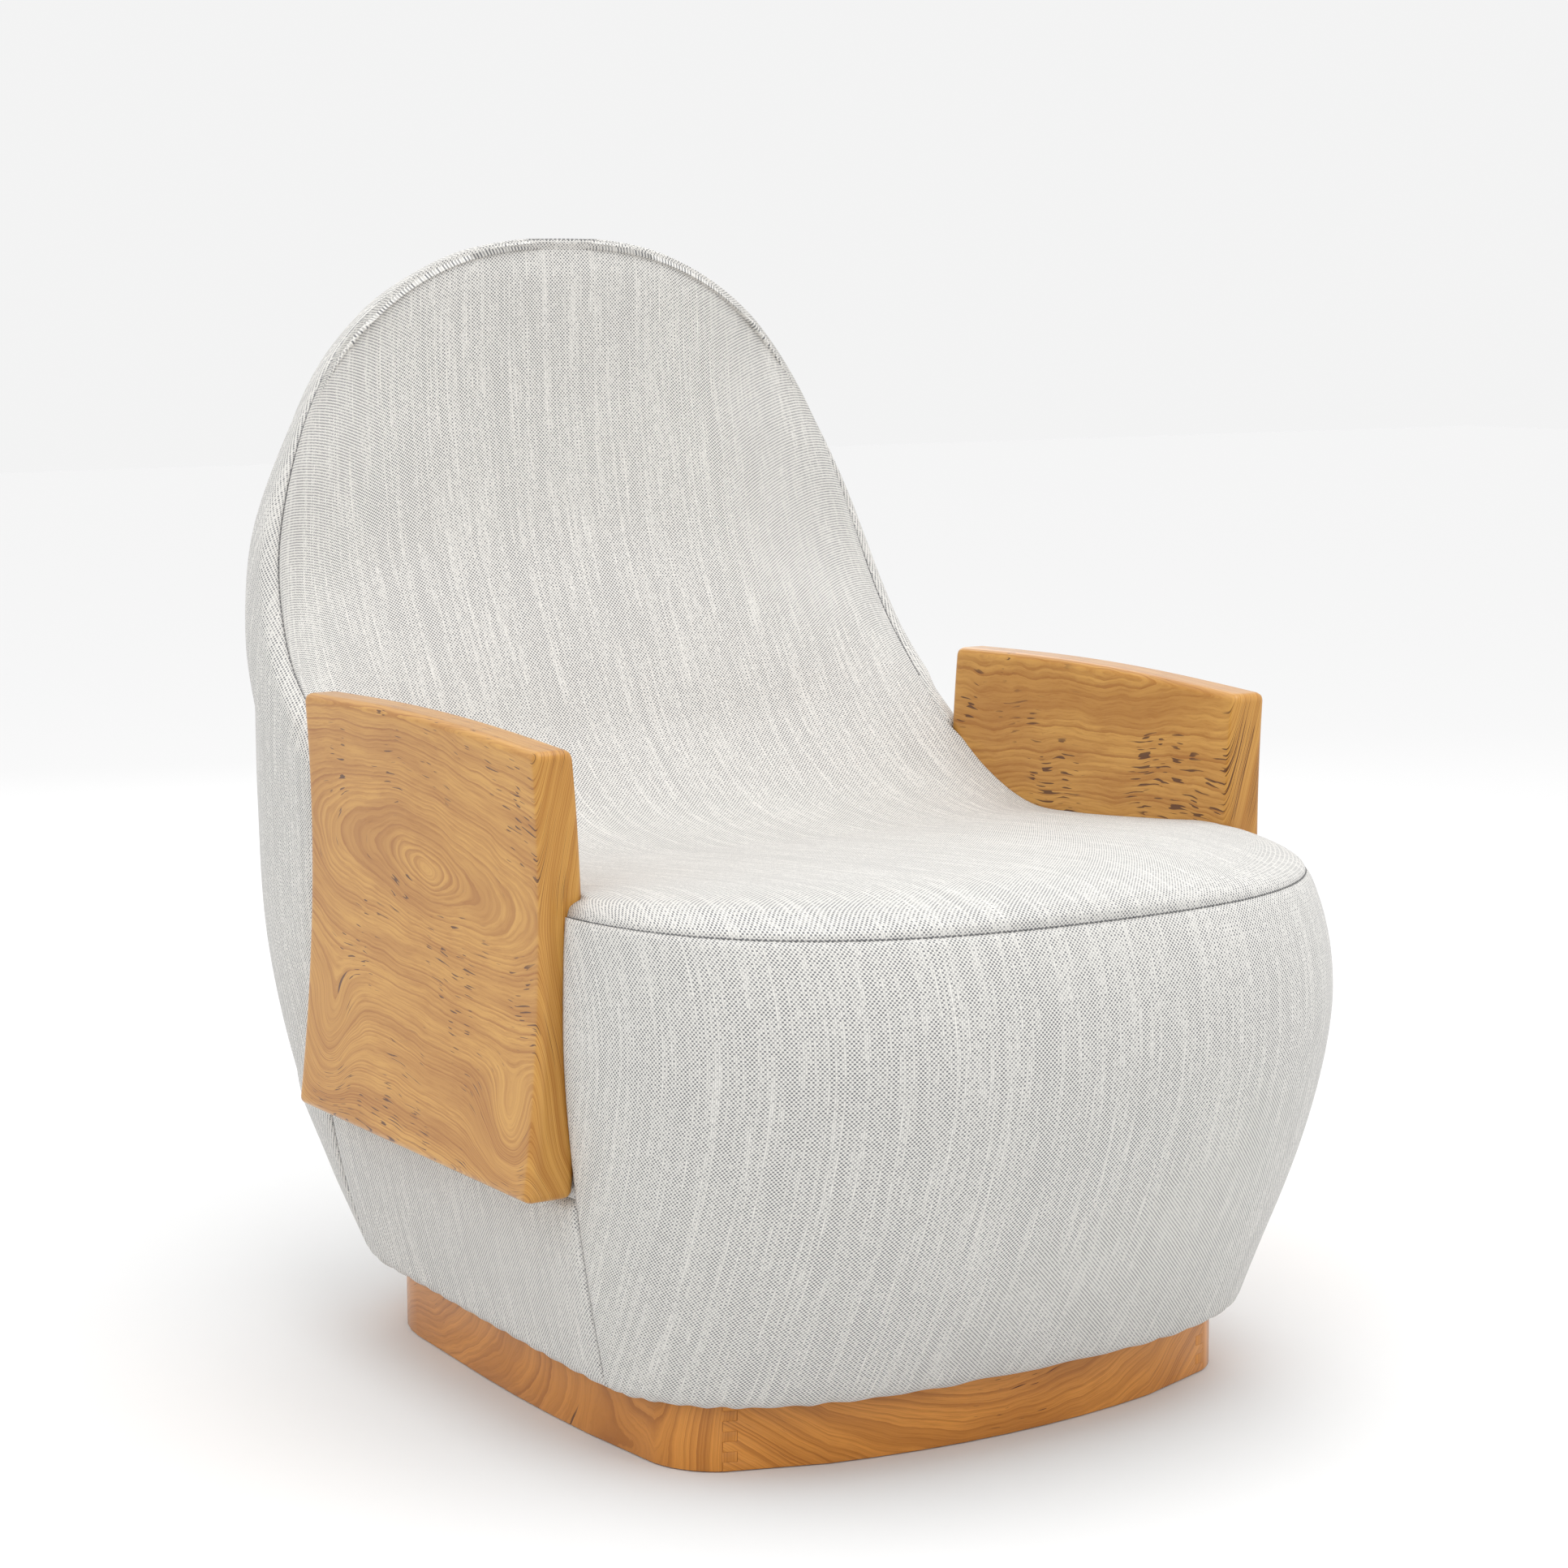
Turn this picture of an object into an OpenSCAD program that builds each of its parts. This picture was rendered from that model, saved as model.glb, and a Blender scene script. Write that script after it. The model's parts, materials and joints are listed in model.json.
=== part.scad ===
// Upholstered tub chair that rocks on a hidden shaft and springs above a wooden plinth.
// Millimetres. +Z up, the front faces -Y, and the origin is on the floor under the chair's middle.

/* [Plinth] */
// Height of the plinth boards
plinth_h = 66; // [60:1:72]
// Half of the plinth's greatest width
plinth_half_w = 286; // [280:1:290]
// Front of the plinth at the centre line
plinth_front_y = -307; // [-312:1:-302]
// Back of the plinth at the centre line
plinth_back_y = 310; // [304:1:316]
// Thickness of a plinth board
plinth_t = 26; // [20:1:30]
// Radius of the front corners
plinth_front_r = 68; // [60:1:80]
// Radius of the rear corners
plinth_back_r = 122; // [110:1:130]
// Width of one finger of the corner joints
finger_pitch = 8.3; // [7:0.1:10]
// How far each finger reaches past the corner's middle
finger_reach = 7.5; // [5:0.5:9]

/* [Tub] */
// Height of the seam along the front of the seat
seam_z = 442; // [436:1:448]
// Height of the top of the back
top_z = 967; // [950:1:980]
// Front seam at the centre line
seam_y = -435; // [-440:1:-430]
// How far the front panel swells past the seam
front_swell = 25; // [15:1:30]
// Rearmost point of the outer back
back_y = 460; // [450:1:465]
// Half width of the tub behind the arms
flank_half_w = 359; // [352:1:362]
// Height of the fabric's lower rim
rim_z = 56; // [50:1:60]
// Thickness of the padded panels
pad_t = 34; // [30:1:38]
// Thickness of the seat and inner back padding
seat_pad_t = 52; // [40:1:60]

/* [Arms] */
// Length of an arm, front to back
arm_l = 420; // [400:5:430]
// Front face of the arms
arm_front_y = -190; // [-195:1:-185]
// Bottom of the arms
arm_bottom_z = 217.5; // [215:0.5:225]
// Top of an arm at its front end
arm_front_z = 569; // [560:1:575]
// Top of an arm at its rear end
arm_back_z = 576; // [570:1:580]
// Rise of the arm's arched top edge
arm_crown = 6; // [0:1:10]
// Outer face of an arm at its top
arm_out_top = 360; // [355:1:365]
// Outer face of an arm at its bottom
arm_out_bottom = 373; // [368:1:373]
// Thickness of an arm at its top
arm_t_top = 34; // [30:1:36]
// Thickness of an arm at its bottom
arm_t_bottom = 42; // [38:1:44]
// How far an arm's faces bow towards the sitter
arm_bow = 9; // [4:1:12]

/* [Rocking mechanism] */
// Height of the shaft
pivot_z = 95; // [92:1:98]
// Shaft's distance behind the origin
pivot_y = 30; // [10:5:40]
// Diameter of the shaft
shaft_d = 20; // [16:1:22]
// Radial clearance of the shaft in its bushes
shaft_gap = 0.05; // [0.02:0.01:0.1]
// Half of the distance between the bearing blocks
block_x = 170; // [160:5:180]
// Spring's distance in front of and behind the shaft
spring_dy = 150; // [130:5:160]
// Diameter of a spring, to the middle of its wire
spring_d = 44; // [38:1:46]
// Diameter of the spring wire
wire_d = 6; // [5:0.5:7]
// Buffer's distance in front of and behind the shaft
buffer_dy = 225; // [215:5:235]

/* [Hidden] */
$fn = 48;

wood = [0.80, 0.60, 0.36];
plywood = [0.84, 0.72, 0.54];
fabric = [0.86, 0.85, 0.82];
steel = [0.60, 0.61, 0.63];
black = [0.12, 0.12, 0.13];
webbing_colour = [0.30, 0.28, 0.25];

// ---------- Curves ----------

function mix(a, b, t) = a + (b - a) * t;
function clamp01(t) = max(0, min(1, t));

// Smooth curve through a list of points, with t from 0 to 1 along the list
function spline(p, t) =
    let (last = len(p) - 1, s = clamp01(t) * last, i = min(last - 1, floor(s)), f = s - i,
        p0 = p[max(0, i - 1)], p1 = p[i], p2 = p[i + 1], p3 = p[min(last, i + 2)])
    0.5 * (2 * p1 + (p2 - p0) * f + (2 * p0 - 5 * p1 + 4 * p2 - p3) * f * f
        + (3 * p1 - p0 - 3 * p2 + p3) * f * f * f);

// Points of an arc from angle a0 to a1, both ends included
function arc(cx, cy, r, a0, a1, n) =
    [for (i = [0 : n]) [cx + r * cos(mix(a0, a1, i / n)), cy + r * sin(mix(a0, a1, i / n))]];

// Front of the plinth bows forward and its sides bow outward, with a round corner between
plinth_front_bow = 0.0007;
plinth_side_bow = 0.00027;

function front_arc_y(x, grow) = plinth_front_y - grow + plinth_front_bow * x * x;
function side_arc_x(y, grow) = plinth_half_w + grow - plinth_side_bow * (y + 20) * (y + 20);

// Right half of the plinth's plan, from the front's middle to the back's middle
function plinth_half(grow) =
    let (rf = plinth_front_r + grow, rb = plinth_back_r + grow,
        cf = [plinth_half_w - 10 - plinth_front_r, plinth_front_y + 38 + plinth_front_r],
        cb = [plinth_half_w - 8 - plinth_back_r, plinth_back_y - plinth_back_r])
    concat(
        [for (x = [0 : 40 : 160]) [x, front_arc_y(x, grow)]],
        arc(cf[0], cf[1], rf, -62, -4, 8),
        [for (y = [-120 : 60 : 60]) [side_arc_x(y, grow), y]],
        arc(cb[0], cb[1], rb, 4, 90, 10),
        [[0, plinth_back_y + grow]]);

function mirrored(half) =
    concat(half, [for (i = [len(half) - 2 : -1 : 1]) [-half[i][0], half[i][1]]]);

module plinth_plan(grow) {
    polygon(mirrored(plinth_half(grow)));
}

// Ring that follows the plinth's plan, from one growth to another
module plinth_ring(grow_in, grow_out, z0, z1) {
    translate([0, 0, z0])
        linear_extrude(z1 - z0)
            difference() {
                plinth_plan(grow_out);
                plinth_plan(grow_in);
            }
}

// ---------- Plinth ----------

// Corner joints lie on lines from these points through the middle of each corner
joint_front = [170, -198];
joint_back = [140, 172];
joint_gap = 0.15;
plinth_z0 = 1;
far = 400;

// Area of plan between the joint lines of the front corners or of the rear corners
module end_area(joint, side, shift) {
    polygon([
        [joint[0] + shift, joint[1]],
        [joint[0] + shift + far, joint[1] + side * far],
        [-joint[0] - shift - far, joint[1] + side * far],
        [-joint[0] - shift, joint[1]]]);
}

// Space for the fingers of a front or rear board: wide in one layer and narrow in the next
module end_layers(joint, side, grow) {
    layers = floor(plinth_h / finger_pitch);
    for (i = [0 : layers - 1]) {
        finger = (i % 2 == 0) ? 1 : -1;
        translate([0, 0, i * finger_pitch])
            linear_extrude(i == layers - 1 ? plinth_h - i * finger_pitch : finger_pitch)
                end_area(joint, side, finger * finger_reach + grow);
    }
}

module plinth_front() {
    color(wood)
        intersection() {
            plinth_ring(-plinth_t, 0, plinth_z0, plinth_h);
            end_layers(joint_front, -1, -joint_gap);
        }
}

module plinth_rear() {
    color(wood)
        intersection() {
            plinth_ring(-plinth_t, 0, plinth_z0, plinth_h);
            end_layers(joint_back, 1, -joint_gap);
        }
}

module plinth_side(side) {
    color(wood)
        intersection() {
            difference() {
                plinth_ring(-plinth_t, 0, plinth_z0, plinth_h);
                end_layers(joint_front, -1, joint_gap);
                end_layers(joint_back, 1, joint_gap);
            }
            translate([side > 0 ? 0 : -far, -far, -1])
                cube([far, 2 * far, plinth_h + 2]);
        }
}

corner_block_h = 48;
corner_block_l = 60;
corner_block_w = 36;
corner_block_x = 234;
glide_d = 26;
glide_t = 4;
glide_x = 219;
// Corners as the side, -1 or 1, and the distance from the origin along Y
corner_places = [[-1, -237], [1, -237], [-1, 232], [1, 232]];

module corner_blocks() {
    color(plywood)
        for (p = corner_places)
            intersection() {
                translate([0, 0, glide_t])
                    linear_extrude(corner_block_h - glide_t)
                        plinth_plan(-plinth_t - 0.2);
                translate([p[0] * corner_block_x, p[1], corner_block_h / 2])
                    rotate([0, 0, -p[0] * sign(p[1]) * -45])
                        cube([corner_block_w, corner_block_l, corner_block_h], center = true);
            }
}

module floor_glides() {
    color(black)
        for (p = corner_places)
            translate([p[0] * glide_x, p[1] * 0.95, 0])
                cylinder(d = glide_d, h = glide_t);
}

// ---------- Mechanism ----------

rail_w = 56;
rail_z0 = 8;
rail_z1 = 50;
beam_z0 = 125;
beam_z1 = 160;
bush_wall = 4;
block_l = 84;
block_t = 36;
block_foot_h = 12;
block_r = 24;
block_screw_dy = 33;
clevis_t = 6;
clevis_gap = 1;
clevis_r = 22;
clevis_plate_t = 5;
clevis_top_l = 96;
cup_wall = 3;
cup_floor = 4;
cup_h = 12;
screw_d = 6;
screw_head_d = 11;
screw_head_h = 4;
bush_r = shaft_d / 2 + shaft_gap + bush_wall;

// Rails stop short of the plinth boards, clear of the corner blocks
base_rail_y0 = plinth_front_y + plinth_t + 34;
base_rail_y1 = plinth_back_y - plinth_t - 12;

module base_rail(side) {
    color(plywood)
        translate([side * block_x - rail_w / 2, base_rail_y0, rail_z0])
            cube([rail_w, base_rail_y1 - base_rail_y0, rail_z1 - rail_z0]);
}

module bearing_block(side) {
    color(steel)
        translate([side * block_x - block_t / 2, pivot_y, 0])
            rotate([90, 0, 90])
                difference() {
                    union() {
                        translate([-block_l / 2, rail_z1])
                            cube([block_l, block_foot_h, block_t]);
                        translate([-block_r, rail_z1 + block_foot_h - 2, 0])
                            cube([2 * block_r, pivot_z - rail_z1 - block_foot_h + 2, block_t]);
                        translate([0, pivot_z, 0])
                            cylinder(r = block_r, h = block_t);
                    }
                    translate([0, pivot_z, -1])
                        cylinder(r = bush_r, h = block_t + 2);
                    for (s = [-1, 1])
                        translate([s * block_screw_dy, rail_z1 - 1, block_t / 2])
                            rotate([-90, 0, 0])
                                cylinder(d = screw_d, h = 20);
                }
}

module pivot_bushes() {
    color(black)
        for (s = [-1, 1])
            translate([s * block_x - block_t / 2, pivot_y, pivot_z])
                rotate([0, 90, 0])
                    difference() {
                        cylinder(r = bush_r, h = block_t);
                        translate([0, 0, -1])
                            cylinder(r = shaft_d / 2 + shaft_gap, h = block_t + 2);
                    }
}

module base_screws() {
    color(steel)
        for (s = [-1, 1])
            for (t = [-1, 1])
                translate([s * block_x, pivot_y + t * block_screw_dy, rail_z1]) {
                    cylinder(d = screw_d, h = block_foot_h);
                    translate([0, 0, block_foot_h])
                        cylinder(d = screw_head_d, h = screw_head_h, $fn = 6);
                }
}

module spring_places() {
    for (s = [-1, 1])
        for (t = [-1, 1])
            translate([s * block_x, pivot_y + t * spring_dy, 0])
                children();
}

module spring_cup() {
    difference() {
        cylinder(d = spring_d + wire_d + 2 + 2 * cup_wall, h = cup_h);
        translate([0, 0, cup_floor])
            cylinder(d = spring_d + wire_d + 2, h = cup_h);
    }
}

module spring_seats_lower() {
    color(black)
        spring_places()
            translate([0, 0, rail_z1])
                spring_cup();
}

module spring_seats_upper() {
    color(black)
        spring_places()
            translate([0, 0, beam_z0])
                mirror([0, 0, 1])
                    spring_cup();
}

// One coil: a round wire swept along a helix, with flat end turns
spring_turns = 5;
spring_steps = 18;
wire_sides = 6;

function spring_point(i, j, z0, z1) =
    let (n = spring_turns * spring_steps, a = 360 * i / spring_steps,
        rise = clamp01((i / spring_steps - 0.75) / (spring_turns - 1.5)),
        b = 360 * j / wire_sides, r = spring_d / 2 + wire_d / 2 * cos(b))
    [r * cos(a), r * sin(a), mix(z0, z1, rise) + wire_d / 2 * sin(b)];

module coil_spring(z0, z1) {
    n = spring_turns * spring_steps;
    points = [for (i = [0 : n]) for (j = [0 : wire_sides - 1]) spring_point(i, j, z0, z1)];
    sides = [for (i = [0 : n - 1]) for (j = [0 : wire_sides - 1])
        [i * wire_sides + j, i * wire_sides + (j + 1) % wire_sides,
            (i + 1) * wire_sides + (j + 1) % wire_sides, (i + 1) * wire_sides + j]];
    triangles = [for (q = sides) each [[q[0], q[1], q[2]], [q[0], q[2], q[3]]]];
    start = [for (j = [wire_sides - 1 : -1 : 0]) j];
    end = [for (j = [0 : wire_sides - 1]) n * wire_sides + j];
    polyhedron(points, concat(triangles, [start], [end]));
}

module rocker_springs() {
    color(steel)
        spring_places()
            coil_spring(rail_z1 + cup_floor + wire_d / 2, beam_z0 - cup_floor - wire_d / 2);
}

// Buffers stop the seat's beams at the ends of the rocking travel
buffer_front_h = 53.5;
buffer_back_h = 49.5;
buffer_foot_d = 34;
buffer_top_d = 26;

module stop_buffers() {
    color(black)
        for (s = [-1, 1]) {
            translate([s * block_x, pivot_y - buffer_dy, rail_z1])
                cylinder(d1 = buffer_foot_d, d2 = buffer_top_d, h = buffer_front_h);
            translate([s * block_x, pivot_y + buffer_dy, rail_z1])
                cylinder(d1 = buffer_foot_d, d2 = buffer_top_d, h = buffer_back_h);
        }
}

shaft_half_l = block_x + block_t / 2 + clevis_gap + clevis_t + 10;

module pivot_shaft() {
    color(steel)
        translate([-shaft_half_l, pivot_y, pivot_z])
            rotate([0, 90, 0])
                cylinder(d = shaft_d, h = 2 * shaft_half_l);
}

ring_t = 3;
ring_inset = 5;

module shaft_rings() {
    color(steel)
        for (s = [-1, 1])
            translate([s * (shaft_half_l - ring_inset) - ring_t / 2, pivot_y, pivot_z])
                rotate([0, 90, 0])
                    difference() {
                        cylinder(d = shaft_d + 10, h = ring_t);
                        translate([0, 0, -1])
                            cylinder(d = shaft_d, h = ring_t + 2);
                    }
}

module clevis_cheek(x) {
    translate([x, pivot_y, 0])
        rotate([90, 0, 90])
            difference() {
                union() {
                    translate([-clevis_r, pivot_z, 0])
                        cube([2 * clevis_r, beam_z0 - pivot_z, clevis_t]);
                    translate([0, pivot_z, 0])
                        cylinder(r = clevis_r, h = clevis_t);
                }
                translate([0, pivot_z, -1])
                    cylinder(d = shaft_d, h = clevis_t + 2);
            }
}

module rocker_clevis(side) {
    cheek_x = block_t / 2 + clevis_gap;
    color(steel) {
        clevis_cheek(side * block_x - cheek_x - clevis_t);
        clevis_cheek(side * block_x + cheek_x);
        translate([side * block_x, pivot_y, beam_z0 - clevis_plate_t / 2])
            cube([2 * (cheek_x + clevis_t), clevis_top_l, clevis_plate_t], center = true);
    }
}

// ---------- Seat frame ----------

skirt_gap = 9;
skirt_t = 5;
skirt_z0 = rim_z + 5;

module seat_beam(side) {
    color(plywood)
        translate([side * block_x - rail_w / 2, plinth_front_y + 4, beam_z0])
            cube([rail_w, plinth_back_y - plinth_front_y - 6, beam_z1 - beam_z0]);
}

module skirt_end(joint, side) {
    color(plywood)
        intersection() {
            plinth_ring(skirt_gap, skirt_gap + skirt_t, skirt_z0, beam_z0);
            linear_extrude(far)
                end_area(joint, side, 0);
        }
}

module skirt_side(side) {
    color(plywood)
        intersection() {
            difference() {
                plinth_ring(skirt_gap, skirt_gap + skirt_t, skirt_z0, beam_z0);
                linear_extrude(far)
                    end_area(joint_front, -1, 0.1);
                linear_extrude(far)
                    end_area(joint_back, 1, 0.1);
            }
            translate([side > 0 ? 0 : -far, -far, 0])
                cube([far, 2 * far, far]);
        }
}

// ---------- Shape of the tub ----------

// Seat and back along the side edge and along the centre line: [y, z] from the front seam to the top
edge_line = [[-262, seam_z], [-240, 452], [-196, 457], [-92, 450], [26, 441], [100, 442],
    [170, 467], [235, 509], [300, 557], [345, 608], [378, 680], [400, 780], [410, 870],
    [409, 930], [408, top_z - 6]];
centre_line = [[seam_y, seam_z], [-418, 457], [-370, 464], [-230, 458], [-60, 443], [80, 430],
    [190, 440], [268, 486], [318, 552], [353, 620], [386, 710], [406, 800], [414, 880],
    [412, 935], [409, top_z - 4]];
half_widths = [331, 331, 317, 315, 314, 314, 314, 316, 325, 322, 311, 277, 229, 165, 50];

seam_power = 2.35;
// Share of the way from the centre line to the side edge, across a row of the seat or back
function across(u, front) =
    mix(pow(abs(u), 2.2),
        (1 - pow(1 - pow(0.965 * abs(u), seam_power), 1 / seam_power))
            / (1 - pow(1 - pow(0.965, seam_power), 1 / seam_power)), front);

function scoop_point(u, v) =
    let (e = spline(edge_line, v), c = spline(centre_line, v), g = across(u, clamp01(1 - v * 6)))
    [u * spline(half_widths, v), mix(c[0], e[0], g), mix(c[1], e[1], g)];

// Same point, moved into the padding
function scoop_inner(u, v, depth) =
    let (p = scoop_point(u, v), d = 0.004,
        a = scoop_point(u, max(0, v - d)), b = scoop_point(u, min(1, v + d)),
        ty = b[1] - a[1], tz = b[2] - a[2], l = norm([ty, tz]))
    [p[0] * (1 - 0.03 * depth / seat_pad_t), p[1] + depth * tz / l, p[2] - depth * ty / l];

// Front panel: swells under the seam, then tucks in towards the rim
function front_share(z) = clamp01((seam_z - z) / (seam_z - rim_z));
function swell(s) = 1 - pow(1 - min(s / 0.25, 1), 2.2);
function tuck(s) = pow(max(0, (s - 0.25) / 0.75), 1.6);
front_tuck = 130;
front_seam_half_w = 338;
function front_y(z) = seam_y - front_swell * swell(front_share(z)) + front_tuck * tuck(front_share(z));
function front_half_w(z) = front_seam_half_w + 4 * swell(front_share(z)) - 37 * tuck(front_share(z));
function front_power(z) = seam_power + 1.1 * pow(max(0, (150 - z) / 100), 2);
front_centre_y = -140;

// Plan point of the front at height z, for t from -1 (left) to 1 (right)
function front_point(t, z, inset) =
    let (n = front_power(z), a = 84 * t, s = t < 0 ? -1 : 1,
        w = front_half_w(z) - inset, d = front_centre_y - front_y(z) - inset)
    [s * w * pow(sin(abs(a)), 2 / n),
        min(front_centre_y - d * pow(cos(a), 2 / n), arm_front_y - 0.6), z];

// Outer back: full behind the arms, tucked in below, and following the seam above
tuck_z = 500;
arch_z = 520;
arch_half_w = 327;
arch_power = 2.35;
bend_z = 600;
lean_z = 860;
function low_tuck(z) = pow(max(0, (tuck_z - z) / 450), 2);
function seam_half_w(z) =
    let (rise = clamp01((z - arch_z) / (top_z + 4 - arch_z)))
    arch_half_w * pow(max(0, 1 - pow(rise, arch_power)), 1 / arch_power);
function seam_edge_y(z) = z < 509 ? 235 : lookup(z, [[509, 235], [557, 300], [608, 345], [680, 378],
    [780, 400], [870, 410], [930, 409], [top_z, 408]]);
function rear_half_w(z) = z < bend_z ? flank_half_w - 54 * low_tuck(z)
    : seam_half_w(z) + 6 + 28 * pow((top_z - z) / (top_z - bend_z), 2.2);
function rear_y(z) = z < tuck_z ? back_y - 128 * low_tuck(z)
    : back_y - 50 * pow(clamp01((z - lean_z) / (top_z - lean_z)), 3);
side_seam_y = 250;
function rear_start_y(z) = z < tuck_z ? side_seam_y : max(side_seam_y, seam_edge_y(z) + 4);
function rear_power(z) = 3 + 0.5 * low_tuck(z);
function rear_centre_y(z) = z < tuck_z ? 300 - 140 * low_tuck(z) : max(300, seam_edge_y(z) + 6);

// Plan point of the outer back at height z, for t from -1 (left) to 1 (right)
function rear_point(t, z, inset) =
    let (cy = rear_centre_y(z), y0 = rear_start_y(z), s = t < 0 ? -1 : 1, q = abs(t), n = rear_power(z),
        w = rear_half_w(z) - inset, d = rear_y(z) - inset - cy,
        a0 = y0 > cy ? asin(pow((y0 - cy) / d, n / 2)) : 0,
        a = y0 > cy ? mix(90, a0, q) : 90 * (1 - min(1, q / 0.9)))
    q > 0.9 && y0 < cy
        ? [s * w, mix(cy, y0, (q - 0.9) / 0.1), z]
        : [s * w * pow(cos(a), 2 / n), cy + d * pow(sin(a), 2 / n), z];

// Closed solid between two grids of points with the same rows and columns
module pad(outer, inner) {
    rows = len(outer);
    cols = len(outer[0]);
    n = rows * cols;
    points = concat([for (r = outer) each r], [for (r = inner) each r]);
    quads = concat(
        [for (i = [0 : rows - 2]) for (j = [0 : cols - 2])
            [i * cols + j, (i + 1) * cols + j, (i + 1) * cols + j + 1, i * cols + j + 1]],
        [for (i = [0 : rows - 2]) for (j = [0 : cols - 2])
            [n + i * cols + j, n + i * cols + j + 1, n + (i + 1) * cols + j + 1, n + (i + 1) * cols + j]],
        [for (i = [0 : rows - 2]) for (e = [[0, 1], [cols - 1, -1]])
            e[1] > 0
                ? [i * cols + e[0], n + i * cols + e[0], n + (i + 1) * cols + e[0], (i + 1) * cols + e[0]]
                : [i * cols + e[0], (i + 1) * cols + e[0], n + (i + 1) * cols + e[0], n + i * cols + e[0]]],
        [for (j = [0 : cols - 2]) for (e = [[0, 1], [rows - 1, -1]])
            e[1] > 0
                ? [e[0] * cols + j, e[0] * cols + j + 1, n + e[0] * cols + j + 1, n + e[0] * cols + j]
                : [e[0] * cols + j, n + e[0] * cols + j, n + e[0] * cols + j + 1, e[0] * cols + j + 1]]);
    polyhedron(points, [for (q = quads) each [[q[0], q[1], q[2]], [q[0], q[2], q[3]]]]);
}

rim_t = 6;
// Below this height a panel thins out to pass outside the skirt
rim_top_z = 130;
pad_rows = 26;
pad_cols = 14;

// Share of the full padding depth along the profile, and across it
function depth_share(u, v) =
    lookup(v, [[0, 0.25], [0.1, 1], [0.64, 0.95], [0.714, 0.66], [0.786, 0.3], [0.857, 0.2], [1, 0.06]])
        * (1 - 0.6 * pow(abs(u), 5));

module inner_panel() {
    us = [for (j = [0 : pad_cols]) -1 + 2 * j / pad_cols];
    vs = [for (i = [0 : pad_rows]) i / pad_rows];
    color(fabric)
        pad([for (v = vs) [for (u = us) scoop_point(u, v)]],
            [for (v = vs) [for (u = us) scoop_inner(u, v, seat_pad_t * depth_share(u, v))]]);
}

// Heights of the rows of a panel, closer together near its ends
function levels(z0, z1, n) = [for (i = [0 : n]) mix(z0, z1, (1 - cos(180 * i / n)) / 2)];

module front_panel() {
    ts = [for (j = [0 : 20]) -1 + j / 10];
    outer = levels(rim_z, seam_z - 1, 12);
    inner = levels(rim_z, seam_z - seat_pad_t, 12);
    color(fabric)
        pad([for (z = outer) [for (t = ts) front_point(t, z, 0)]],
            [for (z = inner) [for (t = ts) front_point(t, z, z < rim_top_z ? rim_t : pad_t)]]);
}

function back_pad_t(z) = z < rim_top_z ? rim_t
    : z < bend_z ? 22
    : mix(14, 4, (z - bend_z) / (top_z - bend_z));

module outer_back_panel() {
    ts = [for (j = [0 : 24]) -1 + j / 12];
    zs = levels(rim_z, top_z, 20);
    color(fabric)
        pad([for (z = zs) [for (t = ts) rear_point(t, min(z, top_z - 1), 0)]],
            [for (z = zs) [for (t = ts) rear_point(t, min(z, top_z - 3), back_pad_t(z))]]);
}

// Side panel: a flat recess behind the arm, and a full flank below it
arm_clearance = 1.4;
function arm_inner_x(z) =
    let (s = clamp01((z - arm_bottom_z) / (arm_front_z - arm_bottom_z)))
    mix(arm_out_bottom - arm_t_bottom, arm_out_top - arm_t_top, s) - arm_bow * 4 * s * (1 - s) - 2 * s;
function side_x(y, z) =
    let (k = clamp01((y - arm_front_y) / (side_seam_y - arm_front_y)), cy = rear_centre_y(z),
        q = max(0, y - cy) / (rear_y(z) - cy), n = rear_power(z))
    z > arm_bottom_z - 4
        ? min(arm_inner_x(z), arm_inner_x(arm_bottom_z)) - arm_clearance
        : mix(front_half_w(z), rear_half_w(z), k) * pow(1 - pow(q, n), 1 / n)
            - (z > arm_bottom_z - 10 ? 5 : 0);
function side_top_z(y) = lookup(y, [[-190, 392], [26, 382], [100, 376], [170, 392], [250, 440]]);
function side_pad_t(y, z) = z < 126 ? max(4, side_x(y, z) - plinth_half_w - skirt_gap - skirt_t - 0.5) : 30;

module side_panel(side) {
    ys = [for (j = [0 : 10]) mix(arm_front_y, side_seam_y - 0.5, j / 10)];
    zs = [rim_z, 75, 105, 125, 135, 175, 204, 211, 216, 270, 330];
    color(fabric)
        mirror([side > 0 ? 0 : 1, 0, 0])
            difference() {
                pad([for (y = ys) [for (z = [each zs, side_top_z(y)]) [side_x(y, z), y, z]]],
                    [for (y = ys) [for (z = [each zs, side_top_z(y)])
                        [side_x(y, z) - side_pad_t(y, z), y, z]]]);
                for (p = bolt_places)
                    translate([side_frame_x0, p[0], p[1]])
                        rotate([0, 90, 0])
                            cylinder(d = insert_d, h = 100);
            }
}

// ---------- Timber and straps inside the tub ----------

side_frame_x0 = 262;
side_frame_t = 18;

// Plywood side: a broad plate under the seat and a post that follows the back
module side_frame(side) {
    color(plywood)
        translate([side > 0 ? side_frame_x0 : -side_frame_x0 - side_frame_t, 0, 0])
            rotate([90, 0, 90])
                difference() {
                    linear_extrude(side_frame_t)
                        polygon([[-200, 165], [-255, 250], [-262, 340], [-240, 382], [-80, 378],
                            [60, 368], [140, 370], [230, 424], [318, 500], [366, 570], [384, 640],
                            [402, 640], [402, 500], [380, 340], [320, 215], [250, 165]]);
                    for (p = bolt_places)
                        translate([p[0], p[1], -1])
                            cylinder(d = bolt_d + 1, h = side_frame_t + 2);
                }
}

module cross_rail(y0, y1, z0, z1, half_w) {
    color(plywood)
        translate([-half_w, y0, z0])
            cube([2 * half_w, y1 - y0, z1 - z0]);
}

module front_rail() {
    cross_rail(-258, -236, 262, 340, side_frame_x0);
}

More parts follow.
